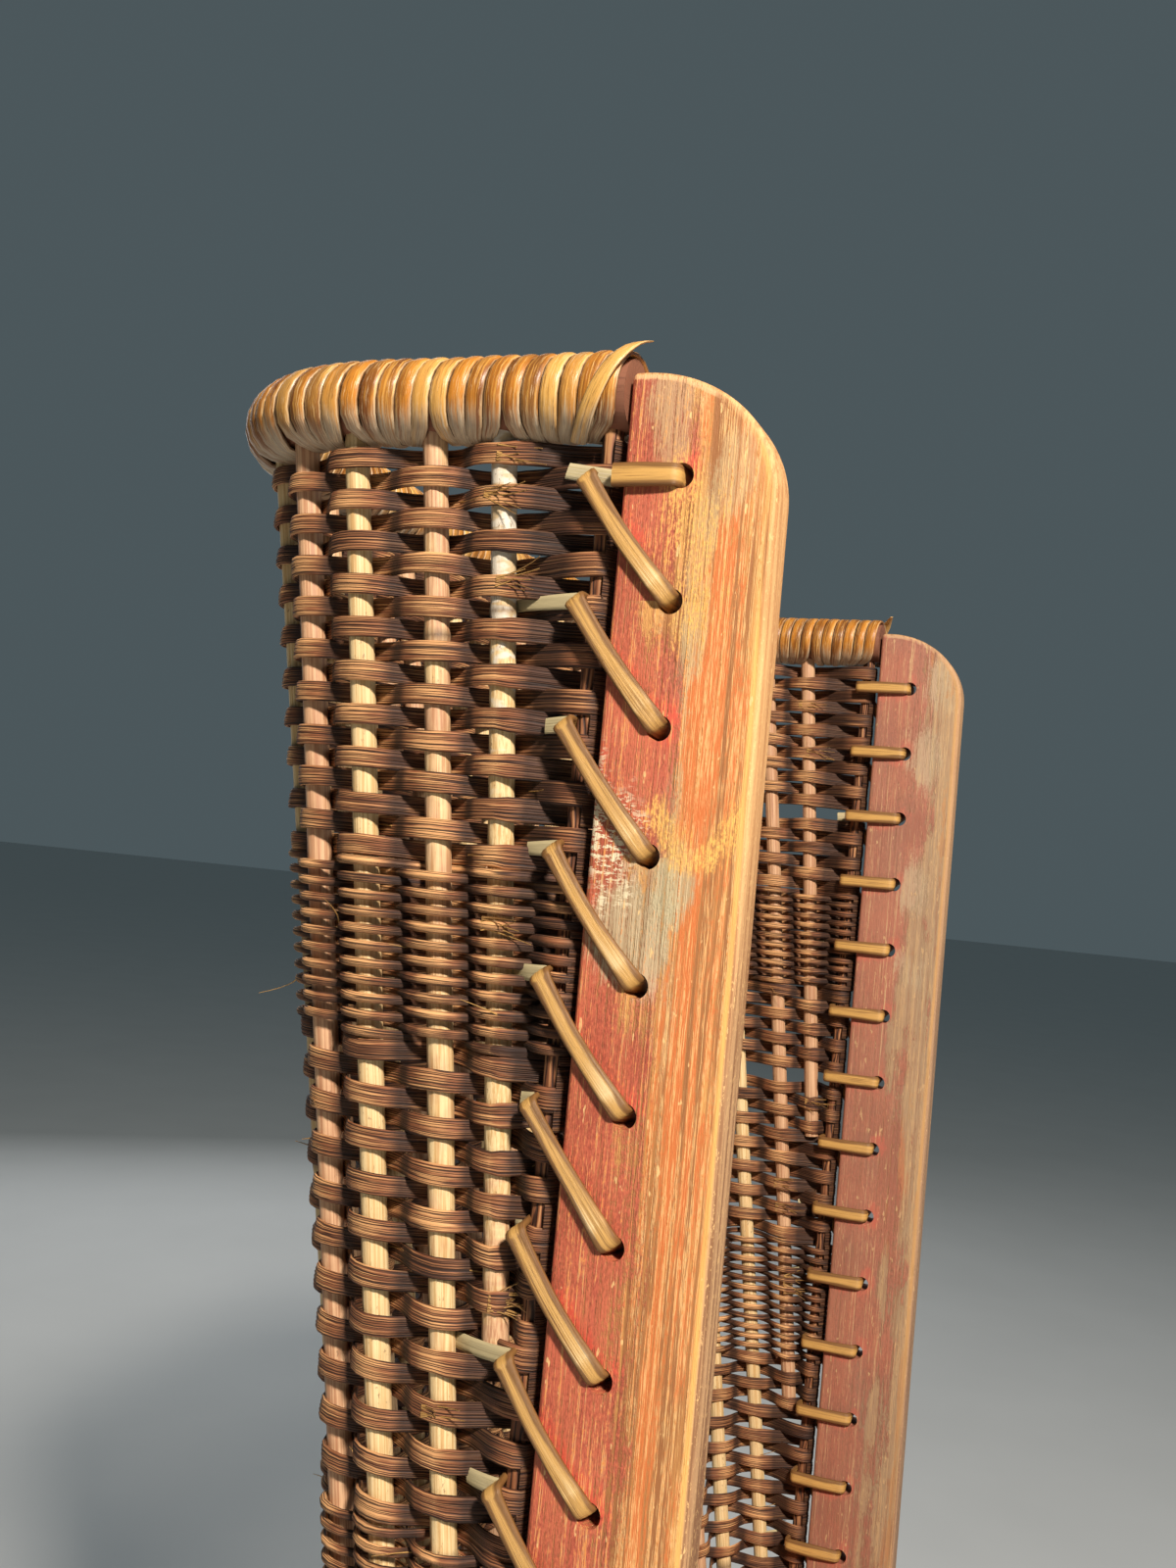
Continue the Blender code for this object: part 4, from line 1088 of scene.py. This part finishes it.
def stakes_at(z):
    """Each stake at that height: its place in the alternation, its middle and its radius."""
    found = []
    for k, (foot, head, radius) in enumerate(stake_ends):
        if z >= foot.z:
            found.append((k, foot.lerp(head, (z - foot.z) / (head.z - foot.z)).to_2d(), radius))
    before = sum(1 for k, _, _ in found if k < FIRST_BACK)
    return [(place - before, middle, radius) for place, (_, middle, radius) in enumerate(found)]


def smooth_between(a, b, c, d, u):
    """A smooth curve from b to c, on its way from a to d."""
    bend, twist = 2 * a - 5 * b + 4 * c - d, 3 * b - a - 3 * c + d
    return 0.5 * (2 * b + (c - a) * u + bend * u**2 + twist * u**3)


def sides_of(places, parity):
    """1 where a row passes outside a stake, and -1 where it passes inside."""
    return [1 if (place + parity) % 2 == 0 else -1 for place in places]


def wrap(row, spot, way, out, swing, side, end):
    """Takes a row round its first stake, with an end of -1, or its last one, with an end of 1."""
    for degrees in EDGE_TURNS[::-end]:
        turn = math.radians(degrees)
        face = out * (side * math.cos(turn)) + way * (end * math.sin(turn))
        row.append((spot + face * swing, face * side, 0.0))


def gaps(count, steps):
    """Each gap between stakes, in steps, and the shares of the near and the far stake's pull there."""
    for i in range(count - 1):
        for step in range(steps + (i == count - 2)):
            wave = math.cos(math.pi * step / steps)
            wave = math.copysign(abs(wave) ** BLUNT, wave)
            yield i, step / steps, (1 + wave) / 2, (1 - wave) / 2


def close_row(row, squeezed):
    """A row's points, directions and crowns, and girths that are least where it dives."""
    points, faces, crowns = (list(values) for values in zip(*row))
    return points, faces, crowns, [squeezed + (1 - squeezed) * (crown + 0.5) for crown in crowns]


def row_path(z, parity, thickness, sway):
    """Points of one row of the back's weft, with directions, crowns and girths."""
    found = stakes_at(z)
    middles = [m for _, m, _ in found]
    middles = [2 * middles[0] - middles[1], *middles, 2 * middles[-1] - middles[-2]]
    ways = [(middles[i + 2] - middles[i]).normalized() for i in range(len(found))]
    outs = [Vector((-w.y, w.x)) for w in ways]
    sides = sides_of([place for place, _, _ in found], parity)
    swing = [radius * ROD_FULL + thickness / 2 + SNUG for _, _, radius in found]
    lift = [rng.normal(0, sway) for _ in found]
    lean = [rng.normal(0, LEAN) for _ in found]
    row = []

    def wrap_stake(i, end):
        spot = middles[i + 1].to_3d() + UP * (z + lift[i])
        wrap(row, spot, ways[i].to_3d(), outs[i].to_3d(), swing[i], sides[i], end)

    wrap_stake(0, -1)
    for i, u, near, far in gaps(len(found), GAP_STEPS):
        offset = sides[i] * swing[i] * near + sides[i + 1] * swing[i + 1] * far
        face = outs[i].lerp(outs[i + 1], u).normalized()
        place = smooth_between(*middles[i : i + 4], u) + face * offset
        height = z + lift[i] * (1 - u) + lift[i + 1] * u
        tilt = lean[i] * (1 - u) + lean[i + 1] * u
        crown = abs(offset) / max(swing[i], swing[i + 1]) - 0.5
        row.append((place.to_3d() + UP * height, (face.to_3d() + UP * tilt).normalized(), crown))
    wrap_stake(len(found) - 1, 1)
    points, faces, crowns, girths = close_row(row, SQUEEZED)
    for i in range(len(EDGE_TURNS) + GAP_STEPS):
        for end in (i, -1 - i):
            girths[end] += EDGE_SWELL
            crowns[end] -= EDGE_SHADE
    return points, faces, crowns, girths


print(len(stakes_at(BASE_Z)), "stakes at the base,", len(stakes_at(BOARD_TOP)), "at the top")

# %% Weave the back
FLAT_PITCH = 7.5 * MM
FLAT_THICKNESS = 1.9 * MM
FLAT_SWAY = 0.50 * MM
FLAT_SIZES = {"width": 7.2 * MM, "thickness": FLAT_THICKNESS, "face_points": 11}
FINE_PITCH = 2.95 * MM
FINE_RADIUS = 1.65 * MM
FINE_SWAY = 0.15 * MM
FINE_SIZES = {"radius": FINE_RADIUS, "sides": 8, "flatness": 0.1}
BROKEN = ((0.926, 0.941), (0.762, 0.770))
BROKEN_POINTS = len(EDGE_TURNS) + 4 * GAP_STEPS
woven = []


def weave_band(node, pitch, thickness, sway):
    """Rows of weft that fill one band of the frame."""
    bottom, top = (corner.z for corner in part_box(node))
    count = round((top - bottom) / pitch)
    rows = Paths()
    for k in range(count):
        z = bottom + (k + 0.5) * (top - bottom) / count
        path = row_path(z, k, thickness, sway)
        if any(low < z < high for low, high in BROKEN):
            path = [values[:-BROKEN_POINTS] for values in path]
        rows.add(rng.uniform(0, 1), *path)
        woven.append(path[:2])
    return rows


for node in ("upper_weaving", "middle_weaving", "lower_weaving"):
    rows = weave_band(node, FLAT_PITCH, FLAT_THICKNESS, FLAT_SWAY)
    rows.sweep(f"{node}_weft", FLAT_CANE, flat_weft, "flat_weft", node, **FLAT_SIZES)
for node in ("upper_fine_band", "lower_fine_band"):
    rows = weave_band(node, FINE_PITCH, 2 * FINE_RADIUS, FINE_SWAY)
    rows.sweep(f"{node}_weft", ROUND_CANE, fine_weft, "fine_weft", node, **FINE_SIZES)

# %% [markdown]
# ## Seat
#
# The seat is woven in the same way on stout rods that run from front to back. Its rows cross from
# side to side, over one rod and under the next. The rods are straight and level, so a row needs no
# curve of its own, only the swing.

# %% Weave the seat
SEAT_RODS = sorted(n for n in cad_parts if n.startswith("seat_rod"))
SEAT_SEED = 200
SEAT_STEPS = 10
SEAT_PITCH = 6.7 * MM
SEAT_SQUEEZED = 0.90
RIGHT = Vector((1, 0, 0))
seat_ends = [ends_of(node, 1) for node in SEAT_RODS]
for k, (node, ends) in enumerate(zip(SEAT_RODS, seat_ends)):
    grow_rod(node, ends, rng.uniform(*PLAIN_TONES, 2), k + SEAT_SEED, 0.0, stake_cane, "seat_rod")


def seat_row(y, parity):
    """One row of the seat's weft, from the left rod to the right one."""
    spots = [Vector((front.x, y, front.z)) for front, _, _ in seat_ends]
    swing = seat_ends[0][2] + FLAT_THICKNESS / 2 + SNUG
    sides = sides_of(range(len(spots)), parity)
    row = []
    wrap(row, spots[0], RIGHT, UP, swing, sides[0], -1)
    for i, u, near, far in gaps(len(spots), SEAT_STEPS):
        offset = sides[i] * swing * near + sides[i + 1] * swing * far
        x = spots[i].x + (spots[i + 1].x - spots[i].x) * u
        row.append((Vector((x, y, spots[i].z + offset)), UP, abs(offset) / swing - 0.5))
    wrap(row, spots[-1], RIGHT, UP, swing, sides[-1], 1)
    return close_row(row, SEAT_SQUEEZED)


seat_low, seat_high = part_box("seat_weaving")
seat_count = round((seat_high.y - seat_low.y) / SEAT_PITCH)
rows = Paths()
for k in range(seat_count):
    y = seat_low.y + (k + 0.5) * (seat_high.y - seat_low.y) / seat_count
    rows.add(rng.uniform(0, 1), *seat_row(y, k))
rows.sweep("seat_weft", FLAT_CANE, flat_weft, "seat_weft", "seat_weaving", **FLAT_SIZES)

# %% [markdown]
# ## Rim binding
#
# The rim is a rod hidden under varnished cane, wound round it turn against turn. Under the rim the
# turns have to pass between the stakes, so they crowd together there and spread out again over the
# top. An even spiral would run through the stakes. So the winding is worked out from where the stakes
# meet the rim, with as many turns in each gap as its width holds.

# %% Work out the rim's line
RIM_SAMPLES = 16
RIM_END = 1.2 * MM
BEND_REACH = 5 * MM


def rim_line():
    """Closely spaced points along the rim's middle, from board to board."""
    heads = [foot.lerp(head, (RIM_Z - foot.z) / (head.z - foot.z)) for foot, head, _ in stake_ends]
    first, last = (Vector((head.x, BOARD_REAR + RIM_END, RIM_Z)) for head in (heads[0], heads[-1]))
    spots = [2 * first - heads[0], first, *heads, last, 2 * last - heads[-1]]
    line = []
    for i in range(len(spots) - 3):
        line += [smooth_between(*spots[i : i + 4], s / RIM_SAMPLES) for s in range(RIM_SAMPLES)]
    return np.array([*line, last])


RIM = rim_line()
RIM_STATIONS = np.concatenate([[0], np.cumsum(np.linalg.norm(np.diff(RIM, axis=0), axis=1))])
RIM_LENGTH = RIM_STATIONS[-1]


def rim_spot(station):
    return Vector([np.interp(station, RIM_STATIONS, RIM[:, i]) for i in range(3)])


def rim_at(station):
    """The rim's middle at a distance along it, and the direction out of its curve."""
    way = (rim_spot(station + MM) - rim_spot(station - MM)).normalized()
    return rim_spot(station), Vector((-way.y, way.x, 0))


def rim_bend(station):
    """How sharply the rim turns there, as one over its radius."""
    station = min(max(station, 2 * BEND_REACH), RIM_LENGTH - 2 * BEND_REACH)
    _, before = rim_at(station - BEND_REACH)
    _, after = rim_at(station + BEND_REACH)
    return before.angle(after) / (2 * BEND_REACH)


def stake_station(foot, head):
    """How far along the rim a stake meets its underside."""
    spot = foot.lerp(head, (RIM_Z - RIM_RADIUS - foot.z) / (head.z - foot.z))
    return RIM_STATIONS[np.argmin(np.linalg.norm(RIM[:, :2] - np.array(spot.to_2d()), axis=1))]


rim_stakes = [stake_station(foot, head) for foot, head, _ in stake_ends]
print(f"rim: {RIM_LENGTH:.3f} m long, {len(rim_stakes)} stakes")

# %% Wind the binding
TURN_PITCH = 6.8 * MM
TURN_STEPS = 18
BINDING_THICKNESS = 2.3 * MM
SMOOTH = {"face_points": 7, "ridge_depth": 0.0, "crown": 0.75}
BINDING_SIZES = {"width": 6.5 * MM, "thickness": BINDING_THICKNESS, **SMOOTH}
BINDING_BITE = 0.3 * MM
UNEVEN_LIFT = 0.25 * MM
CROWDED_LIFT = 0.5 * MM
CROWDED_SQUEEZE = 0.25
STAKE_ROOM = 5.0 * MM
CROWDING = 13
END_CROSSING = 2.0 * MM
BINDING_TONES = {"left": 0.2, "back": 0.35, "right": 0.0}


def crossings_in(near, far):
    """Where the turns of one gap pass under the rim, crowded clear of the stakes."""
    turns = max(1, round((far - near) / TURN_PITCH))
    low, high = near + STAKE_ROOM, far - STAKE_ROOM
    return [low + (high - low) * (i + 0.5) / turns for i in range(turns)]


crossings = [s for near, far in zip(rim_stakes, rim_stakes[1:]) for s in crossings_in(near, far)]
crossings = [END_CROSSING, *crossings, RIM_LENGTH - END_CROSSING]
spread = np.linspace(0, RIM_LENGTH, len(crossings))


def round_rim(station, angle):
    """A place on the rim's line, and the direction out of it at an angle up from level."""
    spot, out = rim_at(station)
    return spot, out * math.cos(angle) + UP * math.sin(angle)


def binding_turns(first, last):
    """Points, directions, crowns and girths of the turns from first to last."""
    cane = []
    for turn, step in ((t, s) for t in range(first, last) for s in range(TURN_STEPS)):
        share = step / TURN_STEPS
        under = crossings[turn] * (1 - share) + crossings[turn + 1] * share
        over = spread[turn] * (1 - share) + spread[turn + 1] * share
        angle = -2 * math.pi * share - math.pi / 2
        low = (0.5 - 0.5 * math.sin(angle)) ** CROWDING
        spot, radial = round_rim(under * low + over * (1 - low), angle)
        lift = UNEVEN_LIFT * wander(turn, 3 * share) + CROWDED_LIFT * low * (turn % 2)
        point = spot + radial * (RIM_RADIUS - BINDING_THICKNESS / 2 + lift - BINDING_BITE)
        fan = 1 + RIM_RADIUS * rim_bend(spread[turn]) * math.cos(angle)
        cane.append((point, radial, math.sin(angle), fan * (1 - CROWDED_SQUEEZE * low)))
    return zip(*cane)


thirds = [round((len(crossings) - 1) * k / 3) for k in range(4)]
for k, (name, tone) in enumerate(BINDING_TONES.items()):
    cane = Paths()
    cane.add(tone, *binding_turns(thirds[k], thirds[k + 1]))
    node = f"rim_binding_{name}"
    cane.sweep(f"binding_{name}", FLAT_CANE, binding_cane, "binding_cane", node, **BINDING_SIZES)
print("binding:", len(crossings) - 1, "turns")

# %% [markdown]
# ## Rim core
#
# The rod inside the binding shows only at its two ends, as a sawn brown disc beside each board. Its
# solid could be copied, but a rod that is swept along the rim's line gets its grain lengthwise.

# %% Draw the rim core
CORE_POINTS = 90
core = Paths()
core_stations = np.linspace(0, RIM_LENGTH, CORE_POINTS)
core_spots = [rim_at(min(max(s, MM), RIM_LENGTH - MM)) for s in core_stations]
core_points = [Vector(RIM[0]), *[spot for spot, _ in core_spots[1:-1]], Vector(RIM[-1])]
core.add(0.4, core_points, [out for _, out in core_spots])
core.sweep("rim_core_rod", ROUND_CANE, rim_wood, "rim_wood", "rim_core", radius=CORE_RADIUS, sides=20)

# %% [markdown]
# ## Lacing
#
# One length of flat cane whips each edge of the wicker to its board. From each hole it climbs back
# across the outside to hook round the edge stake a hole higher, comes through, and runs level along
# the inside to that next hole. The route is the frame's own. Straight runs with sharp corners would
# look like folded paper, so the folds are eased, because cane bends rather than creases.

# %% Fold the lacing's path
LACE_THICKNESS = 2.5 * MM
LACE_SIZES = {
    "width": 7.2 * MM,
    "thickness": LACE_THICKNESS,
    "face_points": 9,
    "ridge_depth": 0.12 * MM,
    "crown": 0.35,
}
LACE_TAIL = BOARD_REAR + 3.0 * MM
LACE_OFF = FIT + LACE_THICKNESS / 2
LACE_UNEVEN = 0.14
LEVEL_BOW, LAST_BOW = 0.6 * MM, 0.4 * MM
SLANT_BOWS, SLANT_SAGS = (0.2, 0.9), (-0.3, 1.2)
SLANT_TAPER = 0.16
HOLE_SHIFT = 0.9 * MM
FOLD = 2.3 * MM
FOLD_STEPS = 5
RUN_STEPS = 9
REAR = Vector((0, 1, 0))


def fold(points, outs, corner, before, after):
    """Bends the path at a corner, from one direction to another that is square to it."""
    start = corner - before * FOLD
    for step in range(FOLD_STEPS + 1):
        turn = math.pi / 2 * step / FOLD_STEPS
        points.append(start + before * (FOLD * math.sin(turn)) + after * (FOLD * (1 - math.cos(turn))))
        outs.append(before * math.sin(turn) - after * math.cos(turn))


def run(points, outs, end, end_out, bow=0.0, sag=Vector()):
    """Carries the path on to a place, turning to face end_out, and standing proud by bow midway."""
    start, start_out = points[-1], outs[-1]
    for step in range(1, RUN_STEPS):
        u = step / RUN_STEPS
        facing = start_out.lerp(end_out, u).normalized()
        points.append(start.lerp(end, u) + (facing * bow + sag) * math.sin(math.pi * u))
        outs.append(facing)


def lace(side):
    """The lacing's points from the seat up to the top hole, with directions, crowns and girths."""
    outer, inner = side * (BOARD_OUTER + LACE_OFF), side * (BOARD_INNER - LACE_OFF)
    out = Vector((side, 0, 0))
    climb = Vector((0, LACE_HOOK - HOLE_Y, HOLE_PITCH)).normalized()
    holes = list(reversed(HOLES))
    slant = []
    points, outs = [Vector((inner, LACE_TAIL, holes[0]))], [-out]
    for z, above in zip(holes, [*holes[1:], None]):
        away = climb if above else REAR
        hole_in = Vector((inner, HOLE_Y + HOLE_SHIFT, z))
        hole_out = Vector((outer, HOLE_Y, z)) + away * HOLE_SHIFT
        run(points, outs, hole_in + REAR * FOLD, -out, LEVEL_BOW)
        fold(points, outs, hole_in, -REAR, out)
        run(points, outs, hole_out - out * FOLD, -away)
        fold(points, outs, hole_out, out, away)
        if above:
            hook_out, hook_in = Vector((outer, LACE_HOOK, above)), Vector((inner, LACE_HOOK, above))
            sag = Vector((0, climb.z, -climb.y)) * rng.uniform(*SLANT_SAGS) * MM
            slant.append((len(points), len(points) + RUN_STEPS))
            run(points, outs, hook_out - climb * FOLD, out, rng.uniform(*SLANT_BOWS) * MM, sag)
            fold(points, outs, hook_out, climb, -out)
            run(points, outs, hook_in + out * FOLD, REAR)
            fold(points, outs, hook_in, -out, -REAR)
    end = Vector((outer, LACE_TAIL, holes[-1]))
    run(points, outs, end, out, LAST_BOW)
    girths = [1 + LACE_UNEVEN * wander(40 + side, 0.12 * i) for i in range(len(points) + 1)]
    crowns = [0.0] * len(girths)
    for first, last in slant:
        for i in range(first, last):
            u = (i - first + 0.5) / (last - first)
            girths[i] *= 1 - SLANT_TAPER * math.sin(math.pi * u) ** 0.5
            crowns[i] = 1 - 2 * u
    return [*points, end], [*outs, out], crowns, girths


print(f"lacing: {LACE_OFF / MM:.2f} mm from the board to its middle, folds of {FOLD / MM:.1f} mm")

# %% Lace the back to the boards
LACE_TONE = 0.45
SIDES = {"left": -1, "right": 1}
for name, side in SIDES.items():
    strip = Paths()
    strip.add(LACE_TONE, *lace(side))
    node = f"{name}_lacing"
    strip.sweep(f"{node}_cane", FLAT_CANE, lace_cane, "lacing_cane", node, **LACE_SIZES)

# %% [markdown]
# ## Loose ends
#
# A hand-made thing shows where strips start and stop. The binding's last end crosses the rim on the
# slant beside each board, a bleached tag of lacing runs back into the weave at each hook, the weft
# frays beside the edges and split fibres stand off it. They could be hair, but the same two trees
# sweep them as well, and only their paths are new.

# %% Tuck in the binding's ends
END_POINTS = 16
END_SIZES = {"width": 6.0 * MM, "thickness": 1.6 * MM, **SMOOTH}
END_START, END_STOP = 18.0 * MM, -4.5 * MM
END_LOW, END_HIGH = math.radians(-78), math.radians(84)
END_LIFT, END_TIP_LIFT = 0.9 * MM, 1.6 * MM
END_GIRTH, END_TAPER, END_TIP = 0.92, 3.2, 1.08
END_PALE = 0.2
END_TONE = 0.8


def binding_end(side):
    """A strip that climbs the rim on the slant towards a board and ends in a raised, blunt tip."""
    strip = []
    for u in (i / (END_POINTS - 1) for i in range(END_POINTS)):
        station = END_START + (END_STOP - END_START) * u
        along = max(station, 0.0)
        angle = END_LOW + (END_HIGH - END_LOW) * u
        spot, radial = round_rim(along if side < 0 else RIM_LENGTH - along, angle)
        lift = RIM_RADIUS + END_LIFT + END_TIP_LIFT * u**6
        point = spot + radial * lift + REAR * min(station, 0.0)
        girth = min(END_GIRTH, END_TAPER * (END_TIP - u))
        strip.append((point, radial, math.sin(angle) + END_PALE, girth))
    return zip(*strip)


for name, side in SIDES.items():
    tail = Paths()
    tail.add(END_TONE, *binding_end(side))
    tail.sweep(f"binding_end_{name}", FLAT_CANE, binding_cane, "binding_cane", **END_SIZES)

# %% Lay the lacing's tags
BLEACHED_SHADES = ((0.26, 0.20, 0.10), (0.46, 0.37, 0.20), (0.66, 0.58, 0.42))
bleached_cane = cane_finish("bleached_cane", BLEACHED_SHADES, 0.0, gloss=0.5)
TAG_SIZES = {"width": 5.6 * MM, "thickness": 1.0 * MM, "face_points": 5, "ridge_depth": 0.0, "crown": 0.5}
TAG_POINTS = 9
TAG_START_OFF, TAG_MIDDLE_OFF, TAG_END_OFF = 2.4 * MM, 1.2 * MM, 1.0 * MM
TAG_BEND = 0.55
TAG_TWIST = 0.25
TAG_LEAD = 1.1
TAG_DROPS, TAG_TONES, TAG_TIPS = (0.5, 3.0), (0.0, 0.8), (0.7, 1.0)
TAG_REACHES = (0.95, 0.35, 0.55, 0.8, 0.4, 0.3, 0.9, 0.6, 0.95, 0.45, 0.7, 0.5, 0.85, 0.4)
TOP_TAG = {"lead": -1.2, "reach": 0.38, "drop": -9.0 * MM}
TOP_TONE = 1.25


def tag_path(side, z, lead, reach, drop):
    """A tag from a hook at height z, back along the weave, for a share reach of the way to a stake."""
    found = stakes_at(z)
    (_, edge, edge_radius), (_, post, post_radius) = found[:2] if side < 0 else found[:-3:-1]
    way = (post - edge).normalized()
    out = Vector((-way.y, way.x)) * -side
    start = edge + way * (edge_radius * lead) + out * (edge_radius + TAG_START_OFF)
    middle = edge.lerp(post, TAG_BEND) + out * (edge_radius + TAG_MIDDLE_OFF)
    end = post - out * (post_radius + TAG_END_OFF)
    points, outs = [], []
    for i in range(TAG_POINTS):
        u = reach * i / (TAG_POINTS - 1)
        spot = start * (1 - u) ** 2 + middle * (2 * u * (1 - u)) + end * u**2
        points.append(spot.to_3d() + UP * (z - drop * u))
        outs.append((out.to_3d() + UP * (TAG_TWIST * wander(reach, 3 * u))).normalized())
    return points, outs


for name, side in SIDES.items():
    tags = Paths()
    tags.add(TOP_TONE, *tag_path(side, HOLES[0], **TOP_TAG))
    for z, reach in zip(HOLES[1:-1], TAG_REACHES):
        path = tag_path(side, z, TAG_LEAD, reach, rng.uniform(*TAG_DROPS) * MM)
        tone = rng.uniform(*TAG_TONES)
        tags.add(tone, *path, girth=np.linspace(1.0, rng.uniform(*TAG_TIPS), TAG_POINTS))
    tags.sweep(f"lacing_tags_{name}", FLAT_CANE, bleached_cane, "lacing_cane", **TAG_SIZES)

# %% Let some fibres stray
FIBRES = 170
FRAYED, FRAY = 40, 7
FRAY_SPREAD = 2.8
FIBRE_STEPS = 6
FIBRE_RADIUS = 0.3 * MM
FIBRE_LENGTHS, FIBRE_LIFTS, FIBRE_RISE = (5, 20), (0.05, 0.5), 0.25
FIBRE_TONES = (0.3, 1.0)
FRAY_TAPER, FIBRE_TAPER = (1.3, 0.5), (1, 0.35)
CLEAR_OF_ENDS = 8
fibres = Paths()


def stray_fibre(point, out, way, taper):
    """Adds a split fibre that leaves the weft along way and curls outwards."""
    length = rng.uniform(*FIBRE_LENGTHS) * MM
    rise, lift = rng.normal(0, FIBRE_RISE), rng.uniform(*FIBRE_LIFTS)
    points = []
    for u in (i / (FIBRE_STEPS - 1) for i in range(FIBRE_STEPS)):
        points.append(point + way * (length * u) + out * (length * lift * u * u) + UP * (length * rise * u))
    girth = np.linspace(*taper, FIBRE_STEPS)
    fibres.add(rng.uniform(*FIBRE_TONES), points, [UP] * FIBRE_STEPS, girth=girth)


for _ in range(FRAYED):
    points, faces = woven[int(rng.integers(len(woven)))]
    if rng.random() < 0.5:
        points, faces = points[::-1], faces[::-1]
    i = len(EDGE_TURNS) + GAP_STEPS + int(rng.integers(2))
    way = (points[i - 3] - points[i]).normalized()
    side = 1 if (points[i] - points[i - 3]).dot(faces[i]) > 0 else -1
    skin = points[i] + faces[i] * (side * FLAT_THICKNESS / 2)
    for _ in range(FRAY):
        start = skin + UP * rng.uniform(-FRAY_SPREAD, FRAY_SPREAD) * MM
        stray_fibre(start, faces[i] * side, way, FRAY_TAPER)
for _ in range(FIBRES):
    points, faces = woven[int(rng.integers(len(woven)))]
    i = int(rng.integers(CLEAR_OF_ENDS, len(points) - CLEAR_OF_ENDS))
    way = (points[i + 1] - points[i - 1]).normalized() * rng.choice([-1, 1])
    stray_fibre(points[i] + faces[i] * (FLAT_THICKNESS / 2), faces[i], way, FIBRE_TAPER)
fibres.sweep("stray_fibres", ROUND_CANE, lace_cane, "flat_weft", radius=FIBRE_RADIUS, sides=5)

# %% [markdown]
# ## Closing
#
# The finished chair has to keep the frame's size. Only its binding, loose ends and stray fibres stand
# past the frame's box, by a few millimetres. So both boxes are printed.

# %% Write the sizes and finish
size = {"cad": CAD_BOX, "visual": [list(corner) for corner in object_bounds()]}
print("sizes:", size)
